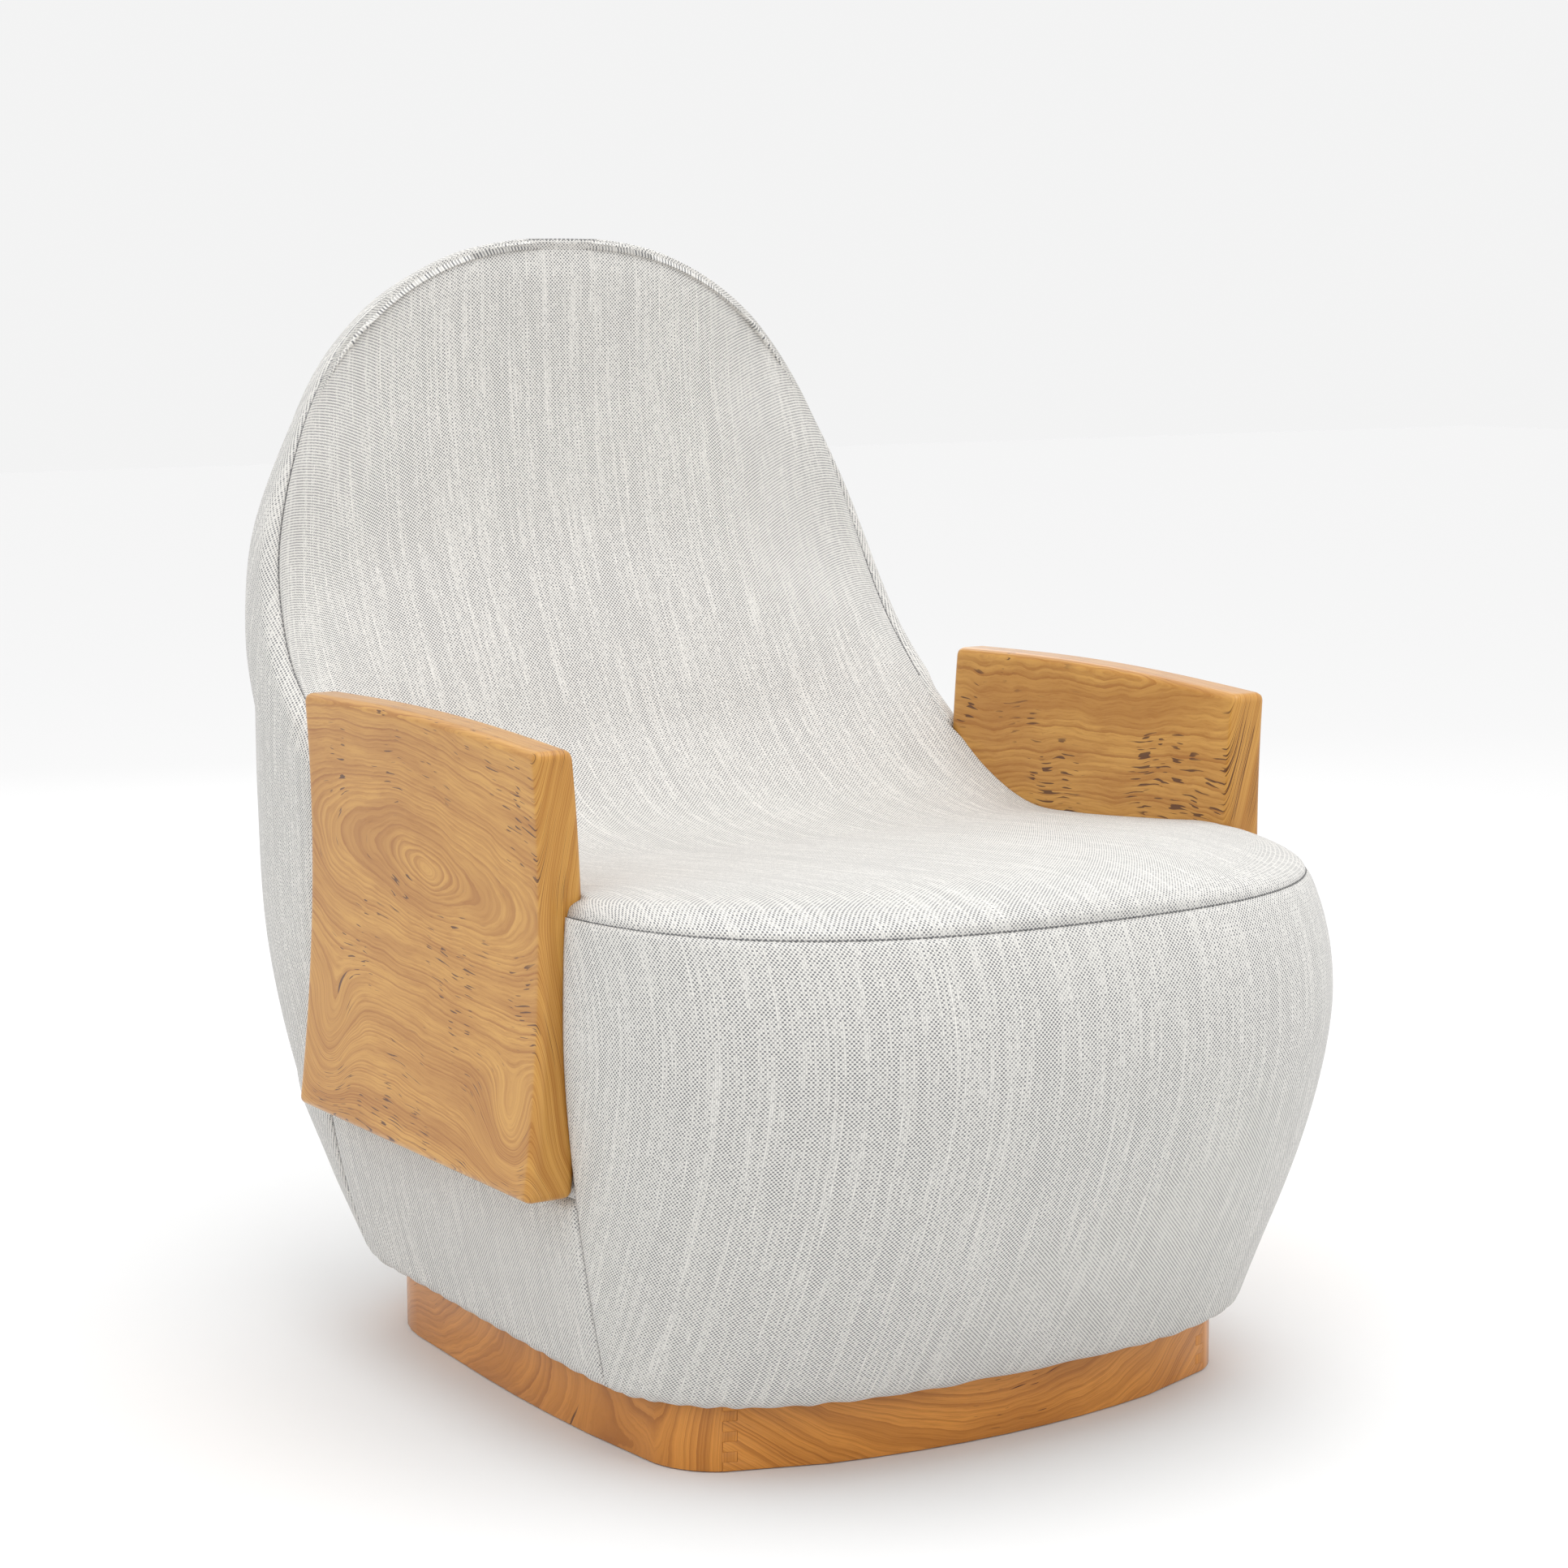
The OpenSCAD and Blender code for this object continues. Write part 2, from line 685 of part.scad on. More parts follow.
module seat_rear_rail() {
    cross_rail(250, 272, 300, 400, side_frame_x0);
}

module lumbar_rail() {
    cross_rail(398, 411, 545, 605, side_frame_x0);
}

// Arched board that carries the top of the back
top_rail_t = 10;
top_rail_rear_y = 436;

module top_rail() {
    color(plywood)
        translate([0, top_rail_rear_y, 0])
            rotate([90, 0, 0])
                linear_extrude(top_rail_t)
                    polygon([[-225, 730], [-188, 805], [-142, 850], [-80, 877], [0, 886], [80, 877],
                        [142, 850], [188, 805], [225, 730], [170, 730], [100, 785], [0, 806],
                        [-100, 785], [-170, 730]]);
}

strap_w = 60;
strap_t = 2;

module seat_webbing() {
    color(webbing_colour)
        for (y = [-225 : 80 : 175])
            translate([-side_frame_x0 + 1, y, 362])
                cube([2 * side_frame_x0 - 2, strap_w, strap_t]);
}

module back_webbing() {
    color(webbing_colour)
        for (x = [-150 : 100 : 150])
            translate([x - strap_w / 2, 424, 590])
                cube([strap_w, strap_t, 260]);
}

module dust_cover() {
    color(black)
        translate([-block_x + rail_w / 2 + 1, -280, beam_z0 + 2])
            cube([2 * block_x - rail_w - 2, 560, 1.5]);
}

// ---------- Arms ----------

bolt_d = 8;
insert_d = 12;
insert_l = 18;
bolt_places = [[-110, 280], [-110, 350], [150, 280], [150, 350]];

// Section of an arm: two bowed faces with rounded arrises
function arm_section() =
    let (n = 14, r = 4,
        out = [for (i = [0 : n]) let (s = mix(0.012, 0.988, i / n))
            [mix(arm_out_bottom, arm_out_top, s) - arm_bow * 4 * s * (1 - s),
                mix(arm_bottom_z, arm_back_z + 4, s)]],
        inn = [for (i = [n : -1 : 0]) let (s = mix(0.012, 0.988, i / n))
            [arm_inner_x(mix(arm_bottom_z, arm_front_z, s)), mix(arm_bottom_z, arm_back_z + 4, s)]])
    concat(out, [[arm_out_top - r, arm_back_z + 4], [arm_out_top - arm_t_top + r, arm_back_z + 4]],
        inn, [[arm_out_bottom - arm_t_bottom + r, arm_bottom_z], [arm_out_bottom - r, arm_bottom_z]]);

module arm(side) {
    top = [for (i = [0 : 12]) let (t = i / 12)
        [mix(arm_front_y, arm_front_y + arm_l, t),
            mix(arm_front_z, arm_back_z, t) + arm_crown * sin(180 * t)]];
    color(wood)
        mirror([side > 0 ? 0 : 1, 0, 0])
            difference() {
                intersection() {
                    translate([0, arm_front_y + arm_l, 0])
                        rotate([90, 0, 0])
                            linear_extrude(arm_l)
                                polygon(arm_section());
                    translate([arm_out_top - 60, 0, 0])
                        rotate([90, 0, 90])
                            linear_extrude(100)
                                polygon(concat([[arm_front_y - 1, 200]],
                                    [[arm_front_y - 1, arm_front_z]], top,
                                    [[arm_front_y + arm_l + 1, arm_back_z],
                                        [arm_front_y + arm_l + 1, 200]]));
                }
                for (p = bolt_places)
                    translate([300, p[0], p[1]])
                        rotate([0, 90, 0])
                            cylinder(d = insert_d, h = arm_inner_x(p[1]) - 300 + insert_l);
            }
}

module arm_bolts() {
    color(steel)
        for (s = [-1, 1])
            for (p = bolt_places)
                mirror([s > 0 ? 0 : 1, 0, 0])
                    translate([side_frame_x0 - 5, p[0], p[1]])
                        rotate([0, 90, 0]) {
                            cylinder(d = 18, h = 5);
                            cylinder(d = bolt_d, h = arm_inner_x(p[1]) - side_frame_x0 + 18);
                        }
}

module arm_inserts() {
    color(steel)
        for (s = [-1, 1])
            for (p = bolt_places)
                mirror([s > 0 ? 0 : 1, 0, 0])
                    translate([arm_inner_x(p[1]) + 0.5, p[0], p[1]])
                        rotate([0, 90, 0])
                            difference() {
                                cylinder(d = insert_d, h = insert_l - 1);
                                translate([0, 0, -1])
                                    cylinder(d = bolt_d, h = insert_l + 1);
                            }
}

plinth_front();
plinth_rear();
plinth_side(-1);  // plinth_left
plinth_side(1);  // plinth_right
corner_blocks();
base_rail(-1);  // base_rail_left
base_rail(1);  // base_rail_right
bearing_block(-1);  // bearing_block_left
bearing_block(1);  // bearing_block_right
pivot_bushes();
spring_seats_lower();
stop_buffers();
base_screws();
floor_glides();
pivot_shaft();
shaft_rings();
rocker_clevis(-1);  // rocker_clevis_left
rocker_clevis(1);  // rocker_clevis_right
rocker_springs();
spring_seats_upper();
seat_beam(-1);  // seat_beam_left
seat_beam(1);  // seat_beam_right
skirt_end(joint_front, -1);  // skirt_front
skirt_end(joint_back, 1);  // skirt_rear
skirt_side(-1);  // skirt_left
skirt_side(1);  // skirt_right
side_frame(-1);  // side_frame_left
side_frame(1);  // side_frame_right
front_rail();
seat_rear_rail();
lumbar_rail();
top_rail();
seat_webbing();
back_webbing();
inner_panel();
front_panel();
side_panel(-1);  // side_panel_left
side_panel(1);  // side_panel_right
outer_back_panel();
dust_cover();
arm(-1);  // arm_left
arm(1);  // arm_right
arm_bolts();
arm_inserts();
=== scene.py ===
"""Upholstered tub chair that rocks above a wooden plinth. Metres; +Z up, the front faces -Y."""
import json
import math

import bmesh
import bpy
import numpy as np
from mathutils import Matrix, Vector


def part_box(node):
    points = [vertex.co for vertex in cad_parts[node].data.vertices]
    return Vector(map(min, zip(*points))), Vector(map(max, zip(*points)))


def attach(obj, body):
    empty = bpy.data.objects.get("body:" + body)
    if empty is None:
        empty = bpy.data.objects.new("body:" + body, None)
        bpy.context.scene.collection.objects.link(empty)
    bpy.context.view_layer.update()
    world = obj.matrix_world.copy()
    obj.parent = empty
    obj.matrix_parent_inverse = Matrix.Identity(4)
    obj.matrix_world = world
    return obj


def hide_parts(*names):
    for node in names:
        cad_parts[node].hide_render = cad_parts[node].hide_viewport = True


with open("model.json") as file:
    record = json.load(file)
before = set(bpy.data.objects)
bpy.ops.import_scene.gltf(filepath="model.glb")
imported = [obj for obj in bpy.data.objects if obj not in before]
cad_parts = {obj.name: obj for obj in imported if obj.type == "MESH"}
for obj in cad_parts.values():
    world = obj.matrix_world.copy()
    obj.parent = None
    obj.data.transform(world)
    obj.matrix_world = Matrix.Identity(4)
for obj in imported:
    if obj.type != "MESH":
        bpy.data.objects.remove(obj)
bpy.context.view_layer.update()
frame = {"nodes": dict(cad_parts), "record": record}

MM = 0.001
RNG = np.random.default_rng(7)


def new_object(name, data):
    made = bpy.data.objects.new(name, data)
    bpy.context.scene.collection.objects.link(made)
    return made


# ---------------------------------------------------------------- camera

CAMERA_PLACE = (-1.61588, -2.52341, 0.91638)
CAMERA_AZIMUTH = -32.276
CAMERA_PITCH = 7.812
CAMERA_ROLL = -0.245
CAMERA_LENS = 80.6
CAMERA_SENSOR = 36.0
CAMERA_SHIFT = (0.0041, -0.0073)


def look_axes():
    """The camera's right, up and back directions."""
    a, e, r = (math.radians(v) for v in (CAMERA_AZIMUTH, CAMERA_PITCH, CAMERA_ROLL))
    back = Vector((math.sin(a) * math.cos(e), -math.cos(a) * math.cos(e), math.sin(e)))
    right = Vector((math.cos(a), math.sin(a), 0.0))
    up = back.cross(right)
    return (right * math.cos(r) + up * math.sin(r), up * math.cos(r) - right * math.sin(r), back)


def add_camera():
    data = bpy.data.cameras.new("camera")
    data.lens = CAMERA_LENS
    data.sensor_width = CAMERA_SENSOR
    data.shift_x, data.shift_y = CAMERA_SHIFT
    camera = new_object("camera", data)
    right, up, back = look_axes()
    turn = Matrix((right, up, back)).transposed().to_4x4()
    camera.matrix_world = Matrix.Translation(CAMERA_PLACE) @ turn
    bpy.context.scene.camera = camera


# ---------------------------------------------------------------- materials

class Nodes:
    """Short calls for building a node tree."""

    def __init__(self, name):
        self.material = bpy.data.materials.new(name)
        self.material.use_nodes = True
        self.tree = self.material.node_tree
        self.shader = self.tree.nodes["Principled BSDF"]

    def add(self, kind, **values):
        node = self.tree.nodes.new(kind)
        for key, value in values.items():
            setattr(node, key, value)
        return node

    def link(self, source, target):
        self.tree.links.new(source, target)

    def feed(self, socket, value):
        if isinstance(value, bpy.types.NodeSocket):
            self.link(value, socket)
        else:
            socket.default_value = value

    def math(self, operation, a, b=0.0, clamp=False):
        node = self.add("ShaderNodeMath", operation=operation, use_clamp=clamp)
        for socket, value in zip(node.inputs, (a, b)):
            self.feed(socket, value)
        return node.outputs[0]

    def plus(self, a, b, clamp=False):
        return self.math("ADD", a, b, clamp=clamp)

    def minus(self, a, b):
        return self.math("SUBTRACT", a, b)

    def times(self, a, b):
        return self.math("MULTIPLY", a, b)

    def divide(self, a, b):
        return self.math("DIVIDE", a, b)

    def swing(self, value, reach):
        """A share of 0 to 1, turned into an offset from minus to plus half the reach."""
        return self.times(self.minus(value, 0.5), reach)

    def ramp(self, factor, low, high):
        """0 below low and 1 above high, with a smooth step between."""
        node = self.add("ShaderNodeMapRange", interpolation_type="SMOOTHSTEP", clamp=True)
        self.feed(node.inputs[0], factor)
        node.inputs[1].default_value = low
        node.inputs[2].default_value = high
        return node.outputs[0]

    def blend(self, factor, a, b):
        node = self.add("ShaderNodeMix", data_type="RGBA", blend_type="MIX")
        self.feed(node.inputs[0], factor)
        self.feed(node.inputs[6], a if isinstance(a, bpy.types.NodeSocket) else (*a, 1.0))
        self.feed(node.inputs[7], b if isinstance(b, bpy.types.NodeSocket) else (*b, 1.0))
        return node.outputs[2]

    def vector(self, x, y, z):
        node = self.add("ShaderNodeCombineXYZ")
        for socket, value in zip(node.inputs, (x, y, z)):
            self.feed(socket, value)
        return node.outputs[0]

    def split(self, vector):
        node = self.add("ShaderNodeSeparateXYZ")
        self.link(vector, node.inputs[0])
        return node.outputs[0], node.outputs[1], node.outputs[2]

    def noise(self, vector, scale=1.0, detail=2.0, roughness=0.5, output=0):
        node = self.add("ShaderNodeTexNoise")
        self.link(vector, node.inputs["Vector"])
        node.inputs["Scale"].default_value = scale
        node.inputs["Detail"].default_value = detail
        node.inputs["Roughness"].default_value = roughness
        node.inputs["Distortion"].default_value = 0.0
        return node.outputs[output]

    def stretched_noise(self, a, b, scales, seed, **values):
        """Noise over two distances, each with its own scale."""
        return self.noise(self.vector(self.times(a, scales[0]), self.times(b, scales[1]), seed), **values)

    def chance(self, vector):
        """One random number for each whole-number place."""
        node = self.add("ShaderNodeTexWhiteNoise", noise_dimensions="3D")
        self.link(vector, node.inputs["Vector"])
        return node.outputs["Value"]

    def place(self):
        return self.add("ShaderNodeTexCoord").outputs["Object"]

    def bump(self, height, strength, distance):
        node = self.add("ShaderNodeBump")
        self.link(height, node.inputs["Height"])
        node.inputs["Strength"].default_value = strength
        node.inputs["Distance"].default_value = distance
        self.link(node.outputs[0], self.shader.inputs["Normal"])

    def uniform(self, **values):
        for key, value in values.items():
            self.shader.inputs[key.replace("_", " ")].default_value = value


# Cloth: scales are per metre, (across, along) the warp
THREAD = 1.7 * MM
CLOTH_LIGHT = (0.745, 0.73, 0.695)
# The next colour is painted shade, used for the gaps between the warp threads.
CLOTH_PAINTED_GAP_SHADE = (0.53, 0.52, 0.495)
CLOTH_FLECK = (0.09, 0.096, 0.112)
WOBBLE_SCALE, WOBBLE_DEPTH = 45.0, 1.2 * MM
DASH_WEFTS, DASH_STAGGER = 1.9, 11.0
STREAK_SCALES = (420.0, 14.0)
DARK_YARN, STREAK_REACH, WARP_REACH, DASH_REACH = 0.84, 2.4, 0.5, 0.7
DARK_COVER = 0.90


def cloth_material():
    """Close weave of light yarn. A dark yarn shows as dots in the gaps, fainter on some warps than others."""
    n = Nodes("mottled_cloth")
    across, along, _ = n.split(n.add("ShaderNodeUVMap", uv_map="cut").outputs[0])
    wobble = n.stretched_noise(across, along, (WOBBLE_SCALE, WOBBLE_SCALE), 0.0)
    across = n.plus(across, n.times(wobble, WOBBLE_DEPTH))
    warp = n.divide(across, THREAD)
    weft = n.divide(along, THREAD)
    warp_wave = n.math("SINE", n.times(warp, math.pi))
    weft_wave = n.math("SINE", n.times(weft, math.pi))
    over = n.times(warp_wave, weft_wave)
    warp_thread = n.math("FLOOR", warp)
    start = n.chance(n.vector(warp_thread, 3.0, 0.0))
    dash = n.math("FLOOR", n.plus(n.divide(weft, DASH_WEFTS), n.times(start, DASH_STAGGER)))
    dark_warp = n.chance(n.vector(warp_thread, dash, 1.0))
    streak = n.stretched_noise(across, along, STREAK_SCALES, 1.7, detail=3.0, roughness=0.6)
    tint = n.chance(n.vector(warp_thread, 9.0, 0.0))
    share = n.plus(DARK_YARN, n.swing(streak, STREAK_REACH))
    share = n.plus(share, n.swing(tint, WARP_REACH))
    share = n.plus(share, n.swing(dark_warp, DASH_REACH), clamp=True)
    fleck = n.times(share, n.ramp(over, 0.05, -0.5))
    # Painted shade: the lines between the warp threads are darkened, standing in for the shade that falls in
    # the gaps of the weave.
    crest_for_gap_shade = n.math("ABSOLUTE", warp_wave)
    colour = n.blend(n.ramp(crest_for_gap_shade, 0.75, 0.05), CLOTH_LIGHT, CLOTH_PAINTED_GAP_SHADE)
    colour = n.blend(n.times(fleck, DARK_COVER), colour, CLOTH_FLECK)
    n.link(colour, n.shader.inputs["Base Color"])
    n.bump(n.plus(n.times(over, 0.5), n.times(dark_warp, 0.4)), 0.45, 0.4 * MM)
    n.uniform(Roughness=0.92, Specular_IOR_Level=0.2, Sheen_Weight=0.2, Sheen_Roughness=0.5)
    return n.material


# Wood: scales are per metre, pairs are (across the layers, along the grain), covers are the most a mark hides
WANDER_SCALE, WANDER_ALONG, WANDER_UP = 9.0, 0.060, 0.026
FUZZ_SCALE, FUZZ_RINGS = 55.0, 0.5
PACE_SCALE, PACE_RINGS = 95.0, 3.5
BROAD_SCALES, BROAD_COVER = (130.0, 5.0), 0.75
FIBRE_SCALES, FIBRE_COVER = (1900.0, 26.0), 0.42
TICK_SCALES, TICK_COVER = (1700.0, 42.0), 0.9
TICK_GROUP_SCALE, TICK_GROUP_PULL = 11.0, 0.35
TICK_COLOUR = (0.085, 0.028, 0.010)
CLOUD_SCALE, CLOUD_COVER = 7.0, 0.32
LATE_COVER = 0.62
OAK_LIGHT, OAK_DARK = (0.60, 0.318, 0.075), (0.29, 0.090, 0.009)


def wood_material(name, along, eye, stretch, ring, swirls=(), tilt=0.0, pores=1.0, slope=0.28,
                  light=OAK_LIGHT, dark=OAK_DARK):
    """Lacquered flat-sawn wood. Its growth layers lie along the board's face and crown gently at the eye.

    Each swirl is (distance along, height, half length, half height, depth), in metres.
    """
    n = Nodes(name)
    place = n.place()
    x, y, z = n.split(place)
    through, run = (n.math("ABSOLUTE", x), y) if along == "Y" else (n.math("ABSOLUTE", y), x)
    shift_along, _, shift_up = n.split(n.noise(place, scale=WANDER_SCALE, output="Color"))
    run = n.plus(run, n.swing(shift_along, WANDER_ALONG))
    rise = n.plus(z, n.swing(shift_up, WANDER_UP))
    c, s = math.cos(tilt), math.sin(tilt)
    dy, dz = n.minus(run, eye[0]), n.minus(rise, eye[1])
    p = n.plus(n.times(dy, c), n.times(dz, s))
    q = n.minus(n.times(dz, c), n.times(dy, s))
    flat = n.divide(p, stretch)
    dome = n.math("SQRT", n.plus(n.plus(n.times(flat, flat), n.times(q, q)), 1.0e-6))
    for centre_y, centre_z, width, height, depth in swirls:
        a = n.divide(n.minus(run, centre_y), width)
        b = n.divide(n.minus(rise, centre_z), height)
        far = n.plus(n.times(a, a), n.times(b, b))
        dome = n.minus(dome, n.times(n.math("EXPONENT", n.times(far, -1.0)), depth))
    sheet = n.plus(through, n.times(dome, slope))
    fuzz = n.noise(place, scale=FUZZ_SCALE, detail=3.0, roughness=0.6)
    layer = n.plus(sheet, n.times(fuzz, FUZZ_RINGS * ring))
    pace = n.noise(n.vector(n.times(layer, PACE_SCALE), 0.0, 0.0), detail=1.0)
    turns = n.plus(n.divide(layer, ring), n.times(pace, PACE_RINGS))
    phase = n.math("FRACT", turns)
    year = n.noise(n.vector(n.math("FLOOR", turns), 0.5, 0.5), scale=3.7, detail=0.0)
    late = n.times(n.ramp(phase, 0.15, 0.92), n.ramp(phase, 1.0, 0.92))
    late = n.times(late, n.ramp(year, 0.32, 0.72))
    broad = n.stretched_noise(layer, p, BROAD_SCALES, 0.0, detail=2.0)
    mid = tuple(0.45 * a + 0.55 * b for a, b in zip(light, dark))
    colour = n.blend(n.times(n.ramp(broad, 0.38, 0.66), BROAD_COVER), light, mid)
    cloud = n.noise(place, scale=CLOUD_SCALE, detail=1.5)
    colour = n.blend(n.times(n.ramp(cloud, 0.42, 0.66), CLOUD_COVER), colour, mid)
    colour = n.blend(n.times(late, LATE_COVER), colour, dark)
    fibre = n.stretched_noise(layer, p, FIBRE_SCALES, 2.0, detail=3.0, roughness=0.7)
    colour = n.blend(n.times(n.ramp(fibre, 0.40, 0.72), FIBRE_COVER), colour, dark)
    spot = n.stretched_noise(sheet, p, TICK_SCALES, 7.0, detail=0.5)
    group = n.noise(place, scale=TICK_GROUP_SCALE, detail=2.0)
    spot = n.plus(spot, n.times(group, TICK_GROUP_PULL * pores))
    tick = n.times(n.ramp(spot, 0.875, 0.91), n.ramp(group, 0.46, 0.56))
    colour = n.blend(n.times(tick, TICK_COVER), colour, TICK_COLOUR)
    n.link(colour, n.shader.inputs["Base Color"])
    n.link(n.plus(0.26, n.times(fibre, 0.14)), n.shader.inputs["Roughness"])
    n.bump(n.minus(n.times(late, -0.25), tick), 0.3, 0.25 * MM)
    n.uniform(Coat_Weight=0.35, Coat_Roughness=0.10, Specular_IOR_Level=0.18)
    return n.material


TONE_SCALE, TONE_SPREAD, ROUGH_REACH = 0.15, 0.15, 0.16


def plain_material(name, colour, rough, grain, grain_scale, metal=0.0, stretch=(1, 1, 1)):
    """Metal, plastic, rubber or board with slight variation of tone and a fine surface grain."""
    n = Nodes(name)
    mapping = n.add("ShaderNodeMapping")
    n.link(n.place(), mapping.inputs[0])
    mapping.inputs["Scale"].default_value = stretch
    tone = n.noise(mapping.outputs[0], scale=grain_scale * TONE_SCALE, detail=4.0)
    darker = tuple(v * (1 - TONE_SPREAD) for v in colour)
    lighter = tuple(min(1.0, v * (1 + TONE_SPREAD)) for v in colour)
    n.link(n.blend(tone, darker, lighter), n.shader.inputs["Base Color"])
    fine = n.noise(mapping.outputs[0], scale=grain_scale, detail=3.0)
    n.link(n.plus(rough - ROUGH_REACH / 2, n.times(fine, ROUGH_REACH)), n.shader.inputs["Roughness"])
    n.bump(fine, 0.3, grain * MM)
    n.uniform(Metallic=metal)
    return n.material


# ---------------------------------------------------------------- shape of the tub, in millimetres

SEAM_Z = 442.0          # front seam of the seat
TOP_Z = 967.0           # top of the back
PROFILE_Z = 51.0        # where the front panel's curve would end
RIM_Z = 57.0            # lowest line of the covers
RIM_LIFT = 5.0          # rise of the rim towards the rear
ROLL = 13.0             # radius of the rim
ARM_FRONT_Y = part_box("arm_left")[0].y / MM
ARM_BACK_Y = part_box("arm_left")[1].y / MM
ARM_BOTTOM_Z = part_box("arm_left")[0].z / MM
SIDE_SEAM_Y = 250.0     # seam between a side panel and the outer back

# [y, z, half width] along the side edge, and [y, z] along the centre line, front seam to arch
EDGE = np.array([(-190.8, 442, 336.6), (-190, 450, 333), (-187, 455.5, 322), (-150, 455.5, 318),
                 (-92, 450, 317.5), (26, 441, 317), (100, 442, 317), (170, 467, 317.5),
                 (235, 509, 319), (300, 557, 324.5), (345, 608, 322), (380, 684, 310),
                 (399, 780, 277.5), (408, 850, 243), (409, 895, 208)], float)
CENTRE = np.array([(-435, 442), (-431, 452), (-412, 461), (-340, 463), (-230, 457),
                   (-60, 443), (80, 431), (190, 442), (266, 484), (322, 552),
                   (358, 620), (390, 710), (407, 800), (411, 860), (411, 905)], float)


SEAM_POWER = 2.5        # roundness of the front seam's plan
SEAM_W = EDGE[0][2]     # half width at the ends of the front seam
FRONT_W = 338.0         # half width where the front panel's curve closes
ARM_END = 8             # the point of EDGE at the arm's rear end
ARM_END_V = ARM_END / (len(EDGE) - 1)
ARM_END_Z = EDGE[ARM_END][1]


def smooth(a, b, t):
    """0 at a and 1 at b, with a soft start and end."""
    s = np.clip((t - a) / (b - a), 0.0, 1.0)
    return s * s * (3 - 2 * s)


def spline(points, t):
    """Catmull-Rom curve through the points, with t from 0 to 1 along the list."""
    last = len(points) - 1
    s = np.clip(np.asarray(t, float), 0, 1) * last
    i = np.minimum(last - 1, np.floor(s)).astype(int)
    f = (s - i)[..., None]
    p0, p1 = points[np.maximum(0, i - 1)], points[i]
    p2, p3 = points[i + 1], points[np.minimum(last, i + 2)]
    return 0.5 * (2 * p1 + (p2 - p0) * f + (2 * p0 - 5 * p1 + 4 * p2 - p3) * f ** 2
                  + (3 * p1 - p0 - 3 * p2 + p3) * f ** 3)


ARCH_Z = 520.0
ARCH_W = 327.0
ARCH_POWER = 2.35


def arch_z(x):
    """Height of the arch over x."""
    share = np.clip(1 - (np.abs(x) / ARCH_W) ** ARCH_POWER, 0, 1)
    return ARCH_Z + (TOP_Z - ARCH_Z) * share ** (1 / ARCH_POWER)


ARCH_EDGE_Y, ARCH_CENTRE_Y = 408.5, 409.5
FINE = np.linspace(0, 1, 600)
UPPER = FINE[FINE > ARM_END_V]
UPPER_EDGE = np.vstack([spline(EDGE, UPPER)[:, :2], (ARCH_EDGE_Y, TOP_Z)])
UPPER_CENTRE = np.vstack([spline(CENTRE, UPPER), (ARCH_CENTRE_Y, TOP_Z)])


def edge_y(z):
    return np.interp(z, UPPER_EDGE[:, 1], UPPER_EDGE[:, 0])


def centre_y(z):
    return np.interp(z, UPPER_CENTRE[:, 1], UPPER_CENTRE[:, 0])


BOWL_POWER = 2.3


def scoop(u, v):
    """Seat and inner back, for u from -1 to 1 across and v from 0 to 1 from the front seam to the arch."""
    e, c = spline(EDGE, v), spline(CENTRE, v)
    front = 1 - smooth(0.0, 0.2, v)
    bowl = np.abs(u) ** BOWL_POWER
    reach = SEAM_W / FRONT_W
    corner = ((1 - (1 - (reach * np.abs(u)) ** SEAM_POWER) ** (1 / SEAM_POWER))
              / (1 - (1 - reach ** SEAM_POWER) ** (1 / SEAM_POWER)))
    g_y = bowl + (corner - bowl) * front
    g_z = bowl + (np.abs(u) ** 5 - bowl) * front
    x = u * e[..., 2]
    y = c[..., 0] + (e[..., 0] - c[..., 0]) * g_y
    z = c[..., 1] + (e[..., 1] - c[..., 1]) * g_z
    rise = smooth(0.60, 1.0, v)
    z_arch = z + rise * (arch_z(x) - z)
    high = smooth(0.60, 0.72, v)
    y_high = centre_y(z_arch) + (edge_y(z_arch) - centre_y(z_arch)) * bowl
    return np.stack([x, y + (y_high - y) * high, z_arch], -1)


BACK_SEAM = scoop(np.ones(400), np.linspace(ARM_END_V, 1, 400))


def seam_start(z):
    """Where the back's seam crosses height z, above the arms."""
    x, y, heights = BACK_SEAM.T
    if z > heights[-1]:
        return np.array([float(arch_half_w(z)), y[-1]])
    return np.array([np.interp(z, heights, x), np.interp(z, heights, y)])


SWELL_SHARE = 0.25      # part of the front's height over which it swells; below that it tucks in
FRONT_CENTRE_Y, FRONT_Y = -140.0, -435.0
FRONT_SWELL_W, FRONT_SWELL_Y = 4.0, 25.0
FRONT_TUCK_W, FRONT_TUCK_Y = 37.0, 130.0


def front_share(z):
    """0 at the front seam, 1 at the foot of the front panel's curve."""
    return np.clip((SEAM_Z - z) / (SEAM_Z - PROFILE_Z), 0, 1)


def swell(z):
    return 1 - (1 - np.minimum(front_share(z) / SWELL_SHARE, 1)) ** 2.2


def tuck(z):
    return np.maximum(0, (front_share(z) - SWELL_SHARE) / (1 - SWELL_SHARE)) ** 1.6


def front_half_w(z):
    return FRONT_W + FRONT_SWELL_W * swell(z) - FRONT_TUCK_W * tuck(z)


def front_face(t, z, inset=0.0):
    """Front panel, for t from -1 to 1 from one arm to the other."""
    low = np.maximum(0, (150 - z) / 100) ** 2
    power = SEAM_POWER + 0.22 * swell(z) * (1 - 0.9 * tuck(z)) + 0.25 * low
    front_y = FRONT_Y - FRONT_SWELL_Y * swell(z) + FRONT_TUCK_Y * tuck(z)
    d = FRONT_CENTRE_Y - front_y - inset
    edge_y = ARM_FRONT_Y - 0.6
    last = np.arccos(((FRONT_CENTRE_Y - edge_y) / d) ** (power / 2))
    w = (front_half_w(z) - inset) / np.sin(last) ** (2 / power)
    a = last * t
    x = np.sign(t) * w * np.abs(np.sin(a)) ** (2 / power)
    y = FRONT_CENTRE_Y - d * np.cos(a) ** (2 / power)
    return np.stack([x, y, z + 0 * t], -1)


